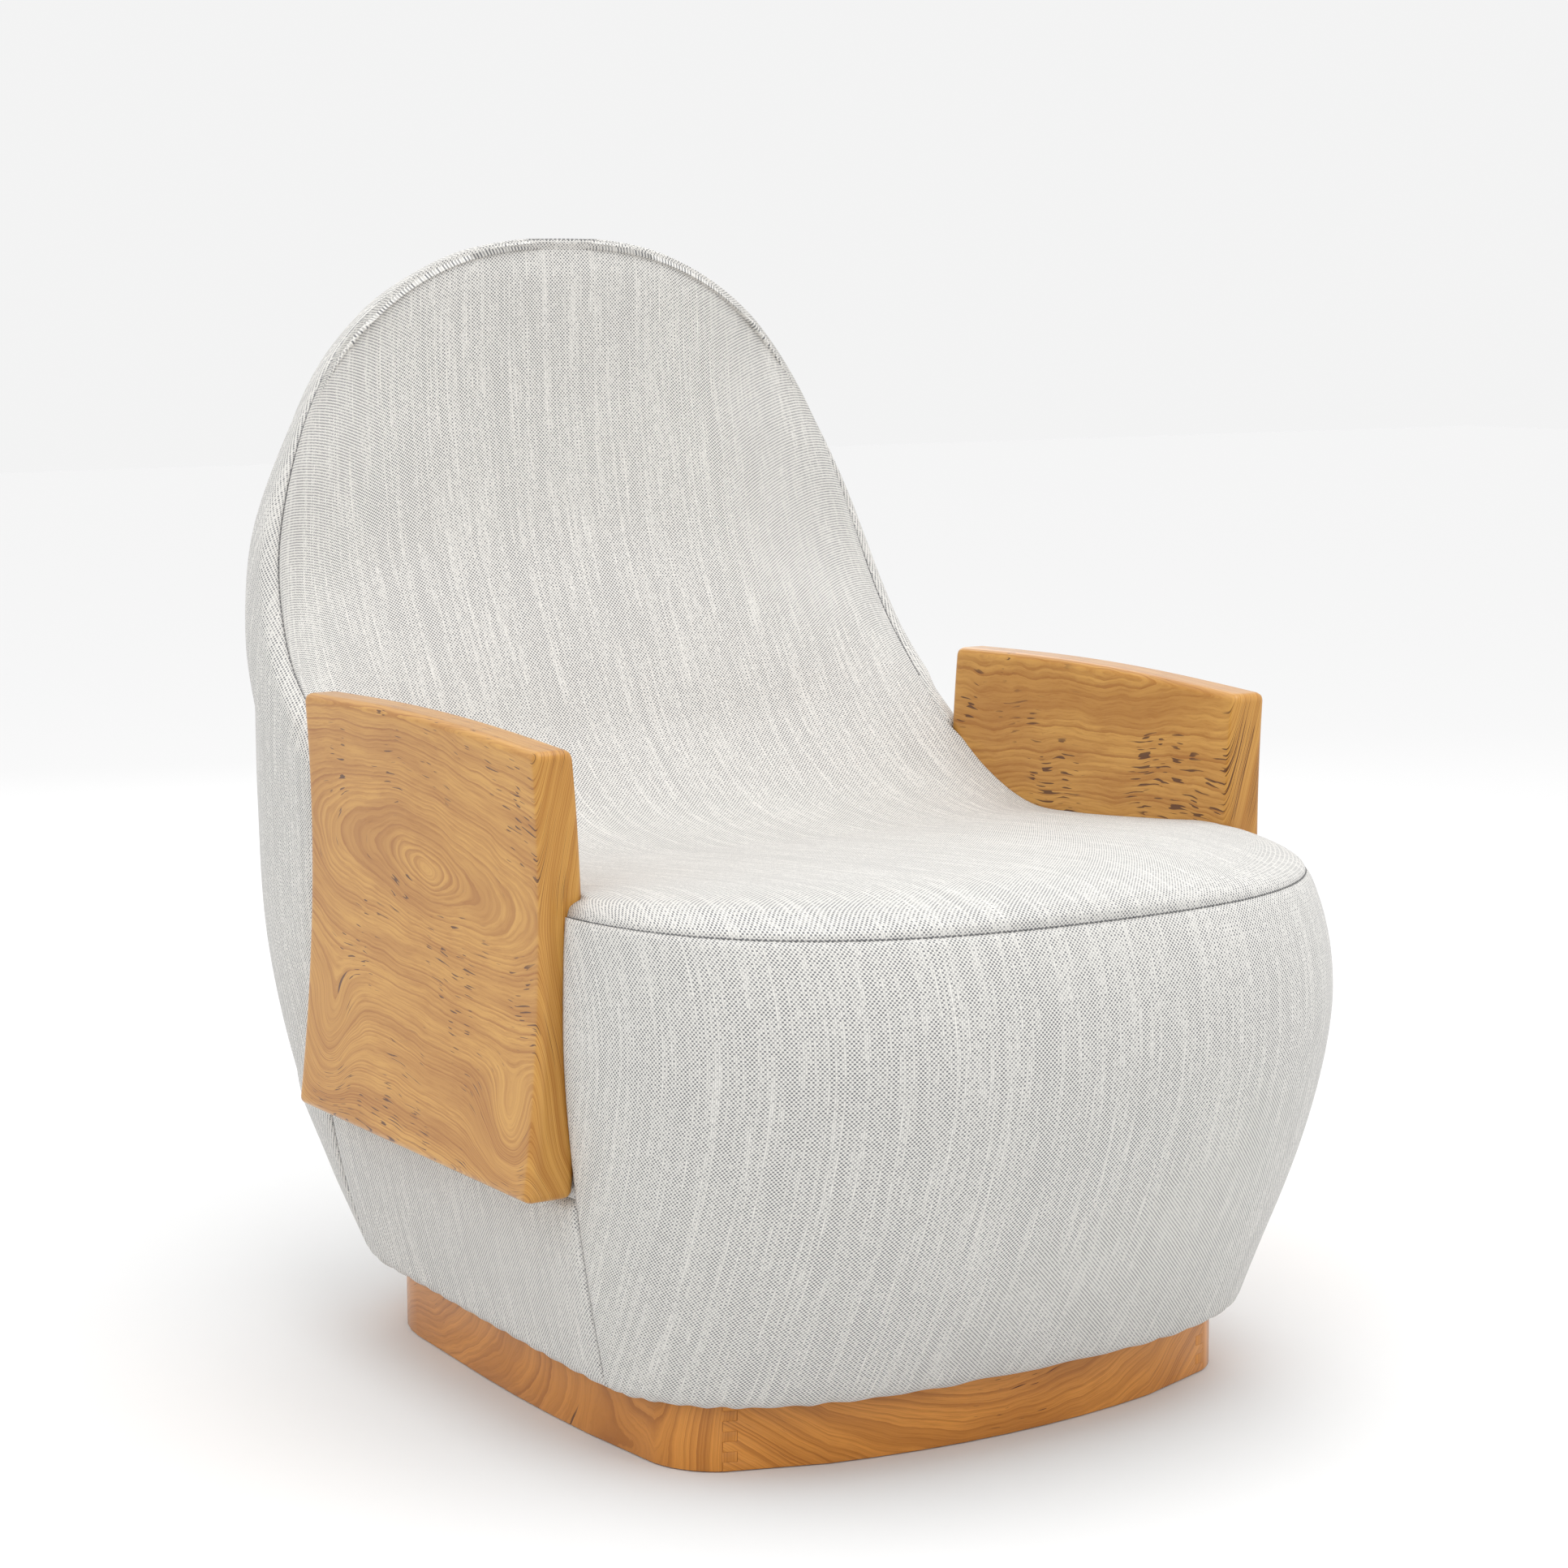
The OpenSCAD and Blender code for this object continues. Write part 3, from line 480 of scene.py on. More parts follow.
REAR_CENTRE_Y = 300.0
REAR_TUCK_Y, REAR_TUCK_CENTRE = 128.0, 140.0


def low_tuck(z):
    """How far the rear has tucked in towards the plinth: 0 above the arms' middle, about 1 at the rim."""
    return np.maximum(0, (500 - z) / 450) ** 2


def rear_power(z):
    """Squareness of the rear corners' plan."""
    high = smooth(120, 520, z) * (1 - 0.4 * smooth(560, 760, z))
    return 3 + 0.5 * low_tuck(z) + 1.6 * high


def arch_half_w(z):
    """Half width of the arch at height z."""
    share = np.clip((z - ARCH_Z) / (TOP_Z - ARCH_Z), 0, 1)
    return ARCH_W * (1 - share ** ARCH_POWER) ** (1 / ARCH_POWER)


# [y, z] of the outer back along its middle, and [half width, z] of the outer back at its widest
BACK_LINE = np.array([(460, 40), (460, 690), (455, 780), (444, 855), (429, 915), (417, 953),
                      (411, 967)], float)
BACK_SIDE = np.array([(298, 30), (312, 95), (330, 173), (340, 250), (344, 340), (341, 450),
                      (341, 540), (334, 630), (316, 712), (275, 801), (241, 857), (189, 912),
                      (120, 947), (20, 967)], float)
BACK_SIDE_FINE = spline(BACK_SIDE, np.linspace(0, 1, 200))


def rear_half_w(z):
    return np.interp(z, BACK_SIDE_FINE[:, 1], BACK_SIDE_FINE[:, 0])


def rear_y(z):
    return np.interp(z, BACK_LINE[:, 1], BACK_LINE[:, 0]) - REAR_TUCK_Y * low_tuck(z)


def rear_centre(z):
    return REAR_CENTRE_Y - REAR_TUCK_CENTRE * low_tuck(z)


def flank_x(y, z):
    """Half width of the tub's side at y, between the front panel and the rear corner."""
    k = np.clip((y - ARM_FRONT_Y) / (SIDE_SEAM_Y - ARM_FRONT_Y), 0, 1)
    w = front_half_w(z) + (rear_half_w(z) - front_half_w(z)) * k
    q = np.clip((y - rear_centre(z)) / (rear_y(z) - rear_centre(z)), 0, 0.999)
    return w * (1 - q ** rear_power(z)) ** (1 / rear_power(z))


BEHIND_ARM = np.array([320.0, ARM_BACK_Y + 0.8])


def rear_outline(z):
    """Half of the outer back's plan at height z: from its seam at the side to the middle of the rear."""
    if z >= ARM_END_Z:
        start = seam_start(z)
    else:
        low = np.array([float(flank_x(SIDE_SEAM_Y, z)), SIDE_SEAM_Y])
        start = low + (BEHIND_ARM - low) * float(smooth(196, 232, z))
    a, y_end, power = float(rear_half_w(z)), float(rear_y(z)), float(rear_power(z))
    turn = np.sin(np.radians(np.linspace(0, 90, 90)))

    def corner(half_w, centre):
        """Rear corner of the plan, from where it starts to turn to the middle of the rear."""
        y0 = max(start[1], centre)
        ys = y0 + (y_end - y0) * turn
        q = np.clip((ys - centre) / (y_end - centre), 0, 1)
        return np.stack([half_w * (1 - q ** power) ** (1 / power), ys], -1)

    centre = float(rear_centre(z))
    plain = np.vstack([start, corner(a, centre)])
    half_w = max(a, start[0] + 2)
    reach = min(34.0, max(centre - start[1], 14.0), 0.6 * (y_end - start[1]))
    rise = np.radians(np.linspace(0, 90, 16))
    lead = np.stack([start[0] + (half_w - start[0]) * np.sin(rise),
                     start[1] + reach * (1 - np.cos(rise))], -1)
    full = np.vstack([lead, corner(half_w, max(centre, start[1] + reach))[1:]])
    blend = float(smooth(150, 260, z))
    even = np.linspace(0, 1, 120)
    return resample(plain, even) * (1 - blend) + resample(full, even) * blend


def resample(line, shares):
    """Points at the given shares of a line's length."""
    step = np.r_[0, np.cumsum(np.linalg.norm(np.diff(line, axis=0), axis=1))]
    at = shares * step[-1]
    return np.stack([np.interp(at, step, line[:, k]) for k in range(line.shape[1])], -1)


# ---------------------------------------------------------------- panels

def blur(values, times):
    """Averages each value of a grid with its eight neighbours, a number of times."""
    rows, cols = values.shape[:2]
    margin = ((1, 1), (1, 1), (0, 0))[:values.ndim]
    for _ in range(times):
        wide = np.pad(values, margin, mode="edge")
        values = sum(wide[i:i + rows, j:j + cols] for i in range(3) for j in range(3)) / 9
    return values


def normals(grid):
    n = blur(np.cross(np.gradient(grid, axis=1), np.gradient(grid, axis=0)), 3)
    return n / np.maximum(np.linalg.norm(n, axis=-1, keepdims=True), 1e-9)


def walk(grid):
    """Distance over the grid to each point, from the first column and from the first row."""
    across = np.cumsum(np.linalg.norm(np.diff(grid, axis=1), axis=-1), 1)
    along = np.cumsum(np.linalg.norm(np.diff(grid, axis=0), axis=-1), 0)
    return np.pad(across, ((0, 0), (1, 0))), np.pad(along, ((1, 0), (0, 0)))


def cut_plan(grid):
    """Flat position of each point on the cloth: across from the middle, and along the warp."""
    mid = grid.shape[1] // 2
    across, along = walk(grid)
    across = across - across[:, mid:mid + 1]
    along = np.repeat(along[:, mid:mid + 1], grid.shape[1], axis=1)
    return np.stack([across, along], -1)


ALL_EDGES = ("left", "right", "start", "end")


def edge_distance(grid, sides):
    """Distance in mm from each point to the nearest of the named edges of the grid."""
    across, along = walk(grid)
    back_across, back_along = walk(grid[::-1, ::-1])
    ways = {"left": across, "right": back_across[::-1, ::-1], "start": along, "end": back_along[::-1, ::-1]}
    return np.minimum.reduce([ways[side] for side in sides])


def grid_quads(rows, cols):
    """Numbers of the grid's points, and its faces."""
    index = np.arange(rows * cols).reshape(rows, cols)
    return index, np.stack([index[:-1, :-1], index[:-1, 1:], index[1:, 1:], index[1:, :-1]], -1).reshape(-1, 4)


HOLD_W = 9.0            # width of the held strip along a sewn edge
SWELL_CAP = 4.0         # most that the cloth swells
SWELL_RISE = 40.0       # distance from an edge over which it does
PRESSURE_FRAMES = 16


def pillow(name, grid):
    """Swells a panel of cloth under pressure between its sewn edges, which are held.
    """
    distance = edge_distance(grid, ALL_EDGES)
    rows, cols = grid.shape[:2]
    mesh = bpy.data.meshes.new(name + "_sim")
    mesh.from_pydata((grid.reshape(-1, 3) * MM).tolist(), [], grid_quads(rows, cols)[1].tolist())
    sheet = new_object(name + "_sim", mesh)
    hold = sheet.vertex_groups.new(name="hold")
    held = np.round(np.clip(1 - distance.ravel() / HOLD_W, 0, 1), 1)
    for level in np.unique(held[held > 0]):
        hold.add(np.nonzero(held == level)[0].tolist(), float(level), "REPLACE")
    cloth = sheet.modifiers.new("cloth", "CLOTH")
    settings = cloth.settings
    settings.quality = 6
    settings.mass = 0.35
    settings.tension_stiffness = 25
    settings.compression_stiffness = 25
    settings.shear_stiffness = 12
    settings.bending_stiffness = 4.0
    settings.vertex_group_mass = "hold"
    settings.pin_stiffness = 1.0
    settings.use_pressure = True
    settings.uniform_pressure_force = 1.6
    settings.shrink_min = -0.001
    settings.effector_weights.gravity = 0.0
    cloth.collision_settings.use_collision = False
    cloth.point_cache.frame_start = 1
    cloth.point_cache.frame_end = PRESSURE_FRAMES
    scene = bpy.context.scene
    for number in range(1, PRESSURE_FRAMES + 1):
        scene.frame_set(number)
    shape = sheet.evaluated_get(bpy.context.evaluated_depsgraph_get()).data
    co = np.empty(rows * cols * 3)
    shape.vertices.foreach_get("co", co)
    lift = ((co.reshape(rows, cols, 3) / MM - grid) * normals(grid)).sum(-1)
    lift = SWELL_CAP * np.tanh(blur(lift, 24) / SWELL_CAP) * smooth(0, SWELL_RISE, distance)
    scene.frame_set(1)
    bpy.data.objects.remove(sheet)
    bpy.data.meshes.remove(mesh)
    return grid + normals(grid) * lift[..., None]


BACK_MIDDLE_Z = 600.0


def seam_sink(grid):
    """Direction in which a seam is pulled into the padding; it depends on the place alone."""
    x, y, z = grid[..., 0], grid[..., 1] - FRONT_CENTRE_Y, grid[..., 2]
    high = smooth(470, BACK_MIDDLE_Z, z)
    reach = np.maximum(np.hypot(x, z - BACK_MIDDLE_Z), 1.0)
    upper = np.stack([-0.65 * x / reach, np.full(x.shape, 0.76), -0.65 * (z - BACK_MIDDLE_Z) / reach], -1)
    span = np.maximum(np.hypot(x, y), 1.0)
    front = (1 - high) * smooth(-10, -55, y) * smooth(380, 420, z)
    lower = np.stack([-x / span, -y / span * front, -0.7 * front], -1)
    way = upper * high[..., None] + lower * (1 - high)[..., None]
    return way / np.maximum(np.linalg.norm(way, axis=-1, keepdims=True), 1e-9)


def groove(grid, sides, depth=2.2, width=7.0):
    """Turns a panel's sewn edges inward, so that two neighbours meet in a narrow, slightly gathered valley."""
    d = edge_distance(grid, sides)
    way = seam_sink(grid)
    place = grid @ np.array([0.31, 0.23, 0.27])
    pull = 1 + 0.22 * np.sin(place * 2.1) * np.sin(place * 0.37 + 1.0)
    fall = np.clip(1 - d / width, 0, 1) ** 2 + 0.22 * pull * np.exp(-(d / 12.0) ** 2)
    return grid + way * (depth * fall)[..., None]


def lift_rim(grid):
    """The lower rim stands slightly higher towards the rear."""
    lift = RIM_LIFT * smooth(-150, 230, grid[..., 1]) * smooth(RIM_Z + 80, RIM_Z + 5, grid[..., 2])
    return grid + np.stack([0 * lift, 0 * lift, lift], -1)


GATHER_HEIGHT, GATHER_REACH, GATHER_PITCH = 0.9, 34.0, 31.0


def gathers(grid):
    """Small gathers where the cloth is pulled under the lower rim."""
    d = edge_distance(grid, ("start",))
    steps = np.cumsum(RNG.uniform(0.6, 1.4, grid.shape[1]))
    phase = steps / steps[-1]
    turns = phase * np.ptp(cut_plan(grid)[0, :, 0]) / GATHER_PITCH
    wave = np.sin(2 * math.pi * turns) * (0.4 + 0.6 * np.sin(phase * 23.0) ** 2)
    height = GATHER_HEIGHT * wave[None, :] * np.exp(-(d / GATHER_REACH) ** 2)
    return grid + normals(grid) * height[..., None]


def shell(name, grid, thickness, material):
    """Closed piece of cloth and padding: the grid outside, and its offset inside."""
    rows, cols = grid.shape[:2]
    count = rows * cols
    depth = thickness * (0.3 + 0.7 * smooth(0, 16, edge_distance(grid, ("left", "right"))))
    inner = grid - normals(grid) * depth[..., None]
    index, face = grid_quads(rows, cols)

    def strip(a, b):
        return np.stack([a[:-1], a[1:], b[1:], b[:-1]], -1)

    quads = np.vstack([
        face, face[:, ::-1] + count,
        strip(index[0], index[0] + count)[:, ::-1], strip(index[-1], index[-1] + count),
        strip(index[:, 0], index[:, 0] + count), strip(index[:, -1], index[:, -1] + count)[:, ::-1]])
    mesh = bpy.data.meshes.new(name)
    points = np.vstack([grid.reshape(-1, 3), inner.reshape(-1, 3)]) * MM
    mesh.from_pydata(points.tolist(), [], quads.tolist())
    layer = mesh.uv_layers.new(name="cut")
    uv = np.vstack([cut_plan(grid).reshape(-1, 2)] * 2) * MM
    layer.data.foreach_set("uv", uv[quads.ravel()].ravel())
    mesh.materials.append(material)
    mesh.shade_smooth()
    mesh.validate()
    piece = new_object(name + "_cover", mesh)
    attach(piece, "seat")
    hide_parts(name)


RIM_ROWS = 8


def rolled_rim(point_at):
    """Rows that carry a panel round its lower rim, from just under the tub up to the outside."""
    turn = np.radians(np.linspace(95, 0, RIM_ROWS, endpoint=False))
    return [point_at(RIM_Z + ROLL * (1 - math.sin(a)), ROLL * (1 - math.cos(a))) for a in turn]


ARM_PRESS = 4.5         # how far the seat's sides are pushed out against the arms


def inner_panel(material):
    """Seat and inner back in one sweep. Its sides are pressed against the arms."""
    u = np.linspace(-1, 1, 121)
    u = 0.65 * u + 0.35 * np.sin(u * math.pi / 2)
    v = np.linspace(0, 1, 261)
    grid = scoop(*np.meshgrid(u, v))
    grid = groove(pillow("inner_panel", grid), ALL_EDGES)
    y = grid[..., 1]
    near = smooth(16, 0, edge_distance(grid, ("left", "right")))
    beside = smooth(ARM_FRONT_Y + 2, ARM_FRONT_Y + 20, y) * smooth(ARM_BACK_Y, ARM_BACK_Y - 25, y)
    grid[..., 0] += np.sign(grid[..., 0]) * ARM_PRESS * near * beside
    shell("inner_panel", grid, 9.0, material)
    return grid


def front_panel(material):
    t = np.linspace(-1, 1, 181)
    t = 0.75 * t + 0.25 * np.sin(t * math.pi / 2)
    rows = rolled_rim(lambda z, inset: front_face(t, z, inset))
    rows += [front_face(t, z) for z in np.linspace(RIM_Z + ROLL, SEAM_Z, 110)]
    grid = gathers(pillow("front_panel", np.array(rows)))
    shell("front_panel", groove(grid, ("end", "left", "right")), 9.0, material)


ARCH_FOOT_Z, ARCH_RISE = 860.0, 106.8


def outer_back_panel(material):
    """Rear of the tub in one piece, from the rim to the arch and round to the side seams."""
    share = np.linspace(0, 1, 91)
    share = 0.7 * share + 0.3 * share ** 1.6

    def ring(z, inset=0.0):
        line = resample(rear_outline(z), share) * (1 - inset / 330.0)
        x = np.r_[line[:, 0], -line[-2::-1, 0]]
        y = np.r_[line[:, 1], line[-2::-1, 1]]
        return np.stack([x, y, np.full(x.shape, float(z))], -1)

    rows = rolled_rim(ring)
    rows += [ring(z) for z in np.linspace(RIM_Z + ROLL, ARCH_FOOT_Z, 150)]
    rows += [ring(ARCH_FOOT_Z + ARCH_RISE * math.sin(a)) for a in np.radians(np.linspace(4, 86, 24))]
    x = rows[-1][:, 0]
    rows.append(np.stack([x, np.full(len(x), ARCH_CENTRE_Y), arch_z(x)], -1))
    grid = lift_rim(np.array(rows))
    grid[..., 2] += 1.5 * smooth(410, 418, grid[..., 1]) * smooth(935, 960, grid[..., 2])
    grid = gathers(pillow("outer_back_panel", grid))
    shell("outer_back_panel", groove(grid, ("end", "left", "right")), 6.0, material)


# [z, x] up the inner face of an arm
ARM_INSIDE = np.array([(217, 329), (300, 318), (393, 315.6), (480, 318), (569, 324)], float)


def recess_x(z):
    """Face of the side panel where it lies behind an arm, a hair's breadth inside it."""
    return np.interp(z, ARM_INSIDE[:, 0], ARM_INSIDE[:, 1]) - 1.6


LEDGE_R = 10.0          # rounding of the side panel's ledge under the arm
LEDGE_Z = ARM_BOTTOM_Z - 12


def side_panel(side, material):
    """Panel under and behind an arm: up from the rim, in over a ledge below the arm, and up behind it."""
    ys = np.linspace(ARM_FRONT_Y, SIDE_SEAM_Y - 0.5, 91)

    def column(z, inset=0.0):
        return np.stack([flank_x(ys, z) - inset, ys, np.full(ys.shape, float(z))], -1)

    rows = rolled_rim(column)
    rows += [column(z) for z in np.linspace(RIM_Z + ROLL, LEDGE_Z, 44)]
    top = rows[-1]
    rows += [top + LEDGE_R * np.array([math.cos(a) - 1, 0, math.sin(a)])
             for a in np.radians(np.linspace(15, 90, 6))]
    ledge = rows[-1]
    inward = np.stack([recess_x(ARM_INSIDE[0, 0]) - ledge[:, 0], 0 * ys, 0 * ys], -1)
    rows += [ledge + inward * share for share in (0.4, 0.8, 1.0)]
    rows += [np.stack([recess_x(z) + 0 * ys, ys, z + 0 * ys], -1) for z in np.linspace(225, 385, 24)]
    grid = lift_rim(np.array(rows))
    if side < 0:
        grid = (grid * np.array([-1, 1, 1]))[:, ::-1]
    grid = groove(gathers(grid), ("left", "right"), depth=3.0, width=8.0)
    shell("side_panel_left" if side < 0 else "side_panel_right", grid, 5.0, material)
    return grid if side > 0 else grid[:, ::-1]


STITCH_PITCH, STITCH_LENGTH, STITCH_R, STITCH_RISE = 4.6, 3.5, 0.45, 0.5
STITCH_RINGS = ((-0.5, 0.35), (-0.28, 1.0), (0.28, 1.0), (0.5, 0.35))   # (share of length, share of radius)
STITCH_SIDES = 6


def stitch(centre, ahead, out, points, faces):
    """Adds one length of thread, a closed tube with tapered ends."""
    side = np.cross(ahead, out)
    side /= max(np.linalg.norm(side), 1e-6)
    up = np.cross(side, ahead)
    first, n = len(points), STITCH_SIDES
    for share, size in STITCH_RINGS:
        for a in np.radians(np.arange(n) * 360.0 / n):
            points.append(centre + out * STITCH_RISE + ahead * share * STITCH_LENGTH
                          + (side * math.cos(a) + up * math.sin(a)) * STITCH_R * size)
    for ring in range(first, len(points) - n, n):
        for k in range(n):
            a, b = ring + k, ring + (k + 1) % n
            faces.append((a, b, b + n, a + n))
    faces.append(tuple(range(first + n - 1, first - 1, -1)))
    faces.append(tuple(range(len(points) - n, len(points))))


def stitches(name, lines, material):
    """Rows of short thread lengths lying in the seams."""
    points, faces = [], []
    for line in lines:
        way = -seam_sink(line[None])[0]
        steps = np.r_[0, np.cumsum(np.linalg.norm(np.diff(line, axis=0), axis=1))]

        def at(distance, values):
            return np.array([np.interp(distance, steps, values[:, k]) for k in range(3)])

        for distance in np.arange(STITCH_PITCH, steps[-1] - STITCH_PITCH, STITCH_PITCH):
            centre = at(distance, line)
            ahead = at(distance + 1.0, line) - centre
            ahead /= max(np.linalg.norm(ahead), 1e-6)
            stitch(centre, ahead, at(distance, way), points, faces)
    mesh = bpy.data.meshes.new(name)
    mesh.from_pydata((np.array(points) * MM).tolist(), [], faces)
    mesh.materials.append(material)
    mesh.shade_smooth()
    piece = new_object(name, mesh)
    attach(piece, "seat")


# ---------------------------------------------------------------- arms

ARM_CELLS = (4, 38, 32)                 # through, along and up
ARM_TOP_Z, ARM_TOP_RISE, ARM_TOP_ARCH = 569.0, 7.0, 6.0
ARM_OUTER_X, ARM_OUTER_LEAN = 373.0, 13.0
ARM_INNER_X, ARM_INNER_LEAN = 331.0, 5.2
ARM_BOW, ARM_WAVE = 9.0, 0.5
ARM_SOFTNESS = 7.0 * MM


def arm_point(side, t, s, h):
    """Point of an arm, with shares t through it, s along it and h up it."""
    y = ARM_FRONT_Y + (ARM_BACK_Y - ARM_FRONT_Y) * s
    z_top = ARM_TOP_Z + ARM_TOP_RISE * s + ARM_TOP_ARCH * math.sin(math.pi * s)
    z = ARM_BOTTOM_Z + (z_top - ARM_BOTTOM_Z) * h
    bow = ARM_BOW * 4 * h * (1 - h) + ARM_WAVE * math.sin(5.1 * s + 3 * h) * math.sin(math.pi * h)
    outer = ARM_OUTER_X - ARM_OUTER_LEAN * h - bow
    inner = ARM_INNER_X - ARM_INNER_LEAN * h - bow - 2 * h * (1 - h)
    return side * (inner + (outer - inner) * t) * MM, y * MM, z * MM


def arm(side, material):
    """Solid slab with bowed faces, an arched top and softened arrises."""
    node = "arm_left" if side < 0 else "arm_right"
    mesh = bpy.data.meshes.new(node)
    bm = bmesh.new()
    nx, ny, nz = ARM_CELLS
    verts = {(i, j, k): bm.verts.new(arm_point(side, i / nx, j / ny, k / nz))
             for i in range(nx + 1) for j in range(ny + 1) for k in range(nz + 1)
             if i in (0, nx) or j in (0, ny) or k in (0, nz)}

    def quad(*corners):
        face = bm.faces.new([verts[corner] for corner in (corners if side > 0 else corners[::-1])])
        face.smooth = True

    for j in range(ny):
        for k in range(nz):
            quad((nx, j, k), (nx, j + 1, k), (nx, j + 1, k + 1), (nx, j, k + 1))
            quad((0, j, k), (0, j, k + 1), (0, j + 1, k + 1), (0, j + 1, k))
    for i in range(nx):
        for k in range(nz):
            quad((i, 0, k), (i + 1, 0, k), (i + 1, 0, k + 1), (i, 0, k + 1))
            quad((i, ny, k), (i, ny, k + 1), (i + 1, ny, k + 1), (i + 1, ny, k))
        for j in range(ny):
            quad((i, j, nz), (i + 1, j, nz), (i + 1, j + 1, nz), (i, j + 1, nz))
            quad((i, j, 0), (i, j + 1, 0), (i + 1, j + 1, 0), (i + 1, j, 0))
    bm.to_mesh(mesh)
    bm.free()
    mesh.materials.append(material)
    piece = new_object(node + "_slab", mesh)
    soften(piece, ARM_SOFTNESS, 6)
    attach(piece, "seat")
    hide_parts(node)


def soften(piece, width, segments):
    """Rounds the sharp edges of a piece."""
    bevel = piece.modifiers.new("soften", "BEVEL")
    bevel.width = width
    bevel.segments = segments
    bevel.limit_method = "ANGLE"
    bevel.angle_limit = math.radians(40)
    bevel.harden_normals = False
    bpy.context.view_layer.objects.active = piece
    with bpy.context.temp_override(object=piece, active_object=piece, selected_objects=[piece]):
        bpy.ops.object.modifier_apply(modifier=bevel.name)


BOARD_SOFTNESS = 0.55 * MM


def board(node, material):
    """Plinth board: the CAD board's own outline, with its sharp edges broken."""
    mesh = frame["nodes"][node].data.copy()
    mesh.name = node + "_board"
    mesh.materials.clear()
    mesh.materials.append(material)
    bm = bmesh.new()
    bm.from_mesh(mesh)
    bmesh.ops.remove_doubles(bm, verts=bm.verts, dist=0.02 * MM)
    bmesh.ops.dissolve_limit(bm, angle_limit=math.radians(0.5), verts=bm.verts, edges=bm.edges)
    for face in bm.faces:
        face.smooth = True
        face.material_index = 0
    bm.to_mesh(mesh)
    bm.free()
    if mesh.attributes.get("custom_normal"):
        mesh.attributes.remove(mesh.attributes["custom_normal"])
    piece = new_object(node + "_board", mesh)
    soften(piece, BOARD_SOFTNESS, 2)
    mesh.set_sharp_from_angle(angle=math.radians(35))
    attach(piece, "base")
    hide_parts(node)


# ---------------------------------------------------------------- stage

STAGE_AIM = Vector((0.0, 0.0, 0.45))
FLOOR_GREY = 0.80
SKY_LOW, SKY_HIGH = 0.90, 1.30


def add_area(name, place, size, power, colour=(1, 1, 1)):
    data = bpy.data.lights.new(name, "AREA")
    data.shape = "RECTANGLE"
    data.size, data.size_y = size
    data.energy = power
    data.color = colour
    lamp = new_object(name, data)
    lamp.location = place
    lamp.rotation_euler = (STAGE_AIM - Vector(place)).to_track_quat("-Z", "Y").to_euler()


def add_stage():
    """Pale floor, a sky that brightens upwards, and four soft lamps."""
    bpy.ops.mesh.primitive_plane_add(size=30, location=(0, 0, 0))
    floor = bpy.context.object
    floor.name = "floor"
    n = Nodes("pale_floor")
    n.uniform(Base_Color=(FLOOR_GREY, FLOOR_GREY, FLOOR_GREY, 1.0), Roughness=0.95, Specular_IOR_Level=0.0)
    floor.data.materials.append(n.material)
    world = bpy.data.worlds.new("studio")
    world.use_nodes = True
    sky = world.node_tree
    sight = sky.nodes.new("ShaderNodeTexCoord").outputs["Generated"]
    split = sky.nodes.new("ShaderNodeSeparateXYZ")
    sky.links.new(sight, split.inputs[0])
    rise = sky.nodes.new("ShaderNodeMapRange")
    sky.links.new(split.outputs[2], rise.inputs[0])
    rise.inputs[1].default_value, rise.inputs[2].default_value = 0.15, 1.0
    rise.inputs[3].default_value, rise.inputs[4].default_value = SKY_LOW, SKY_HIGH
    sky.links.new(rise.outputs[0], sky.nodes["Background"].inputs[1])
    sky.nodes["Background"].inputs[0].default_value = (1.0, 1.0, 1.0, 1.0)
    bpy.context.scene.world = world
    bpy.context.scene.view_settings.view_transform = "Standard"
    add_area("key", (-2.6, -2.4, 2.6), (2.2, 2.2), 10, (1.0, 0.99, 0.97))
    add_area("fill", (2.9, -2.2, 1.7), (2.4, 2.0), 5, (1.0, 0.985, 0.96))
    add_area("top", (0.0, -0.5, 3.0), (2.2, 2.2), 30)
    add_area("rear", (1.2, 3.0, 1.8), (2.0, 1.6), 10)


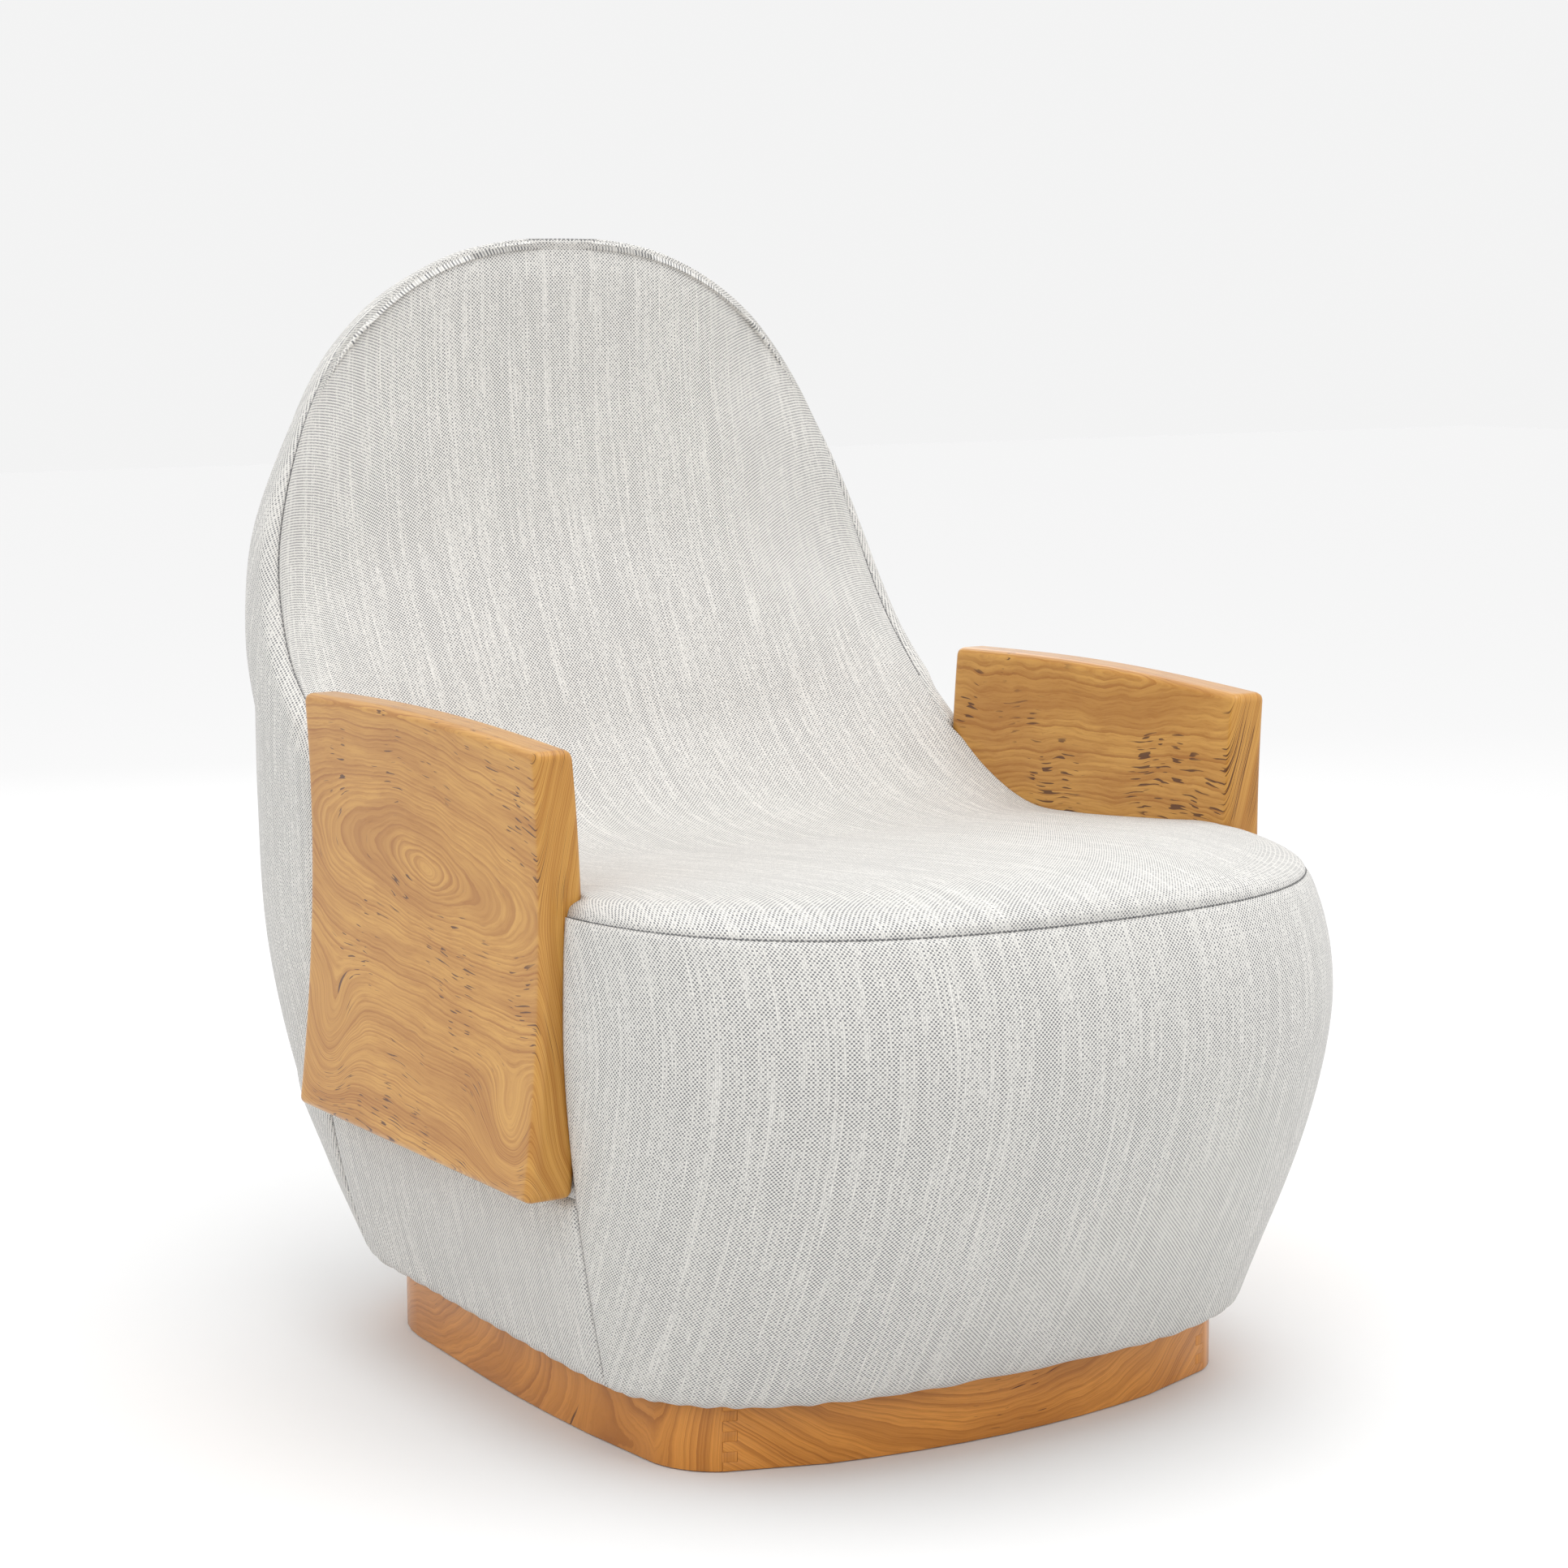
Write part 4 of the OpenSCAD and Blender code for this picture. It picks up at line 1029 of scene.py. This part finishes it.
def dress_frame():
    """Gives every CAD part inside the chair its own finish."""
    finishes = {
        "birch_plywood": plain_material("birch_plywood", (0.62, 0.46, 0.27), 0.6, 0.05, 220, stretch=(1, 6, 1)),
        "spring_steel": plain_material("oiled_steel", (0.42, 0.42, 0.43), 0.34, 0.02, 900, metal=1.0),
        "zinc_plated_steel": plain_material("zinc_plate", (0.62, 0.61, 0.58), 0.3, 0.02, 700, metal=1.0),
        "cast_iron": plain_material("painted_casting", (0.05, 0.05, 0.055), 0.55, 0.12, 600),
        "black_steel": plain_material("black_powder_coat", (0.02, 0.02, 0.022), 0.48, 0.06, 1500),
        "nylon": plain_material("moulded_nylon", (0.03, 0.03, 0.032), 0.45, 0.03, 900),
        "rubber": plain_material("rubber", (0.018, 0.018, 0.018), 0.8, 0.05, 900),
        "felt": plain_material("felt", (0.10, 0.09, 0.08), 0.95, 0.3, 1200),
        "webbing": plain_material("webbing", (0.20, 0.17, 0.13), 0.85, 0.3, 900, stretch=(0.2, 1, 1)),
        "lining": plain_material("lining", (0.03, 0.03, 0.032), 0.9, 0.1, 1400)}
    for part in frame["record"]["subparts"]:
        finish = finishes.get(part["material_slot"])
        if finish:
            materials = frame["nodes"][part["node"]].data.materials
            materials.clear()
            materials.append(finish)


add_camera()
add_stage()
dress_frame()

cloth = cloth_material()
seat_grid = inner_panel(cloth)
front_panel(cloth)
outer_back_panel(cloth)
side_grids = [side_panel(-1, cloth), side_panel(1, cloth)]

# Stitches run along the front seam, round the arch, and up both edges of each side panel below the arm
arch = np.vstack([seat_grid[:, 0], seat_grid[-1], seat_grid[::-1, -1]])
arch = arch[arch[:, 2] > 540]
below_arm = side_grids[0][:, 0, 2] < ARM_BOTTOM_Z - 6
below_arm[:RIM_ROWS + 1] = False
side_lines = [grid[below_arm][:, column] for grid in side_grids for column in (0, -1)]
stitches("seam_stitches", [seat_grid[0], arch] + side_lines,
         plain_material("seam_thread", (0.16, 0.16, 0.165), 0.9, 0.05, 2000))

arm(-1, wood_material("arm_wood_left", "Y", (0.005, 0.452), 3.6, 1.15 * MM, tilt=0.10, pores=1.0,
                      swirls=((0.185, 0.285, 0.045, 0.06, 0.075), (-0.155, 0.262, 0.05, 0.045, 0.07))))
arm(1, wood_material("arm_wood_right", "Y", (-0.1, 0.70), 9.0, 1.5 * MM, tilt=-0.05, pores=1.25))

plinth = {"pores": 0.6, "light": (0.68, 0.285, 0.055), "dark": (0.30, 0.095, 0.014)}
front_wood = wood_material("plinth_wood_front", "X", (0.05, -0.05), 7.0, 1.9 * MM, slope=0.5, **plinth)
side_wood = wood_material("plinth_wood_side", "Y", (0.32, 0.13), 3.0, 2.2 * MM, slope=0.45, tilt=0.25, **plinth)
board("plinth_front", front_wood)
board("plinth_rear", front_wood)
board("plinth_left", side_wood)
board("plinth_right", side_wood)
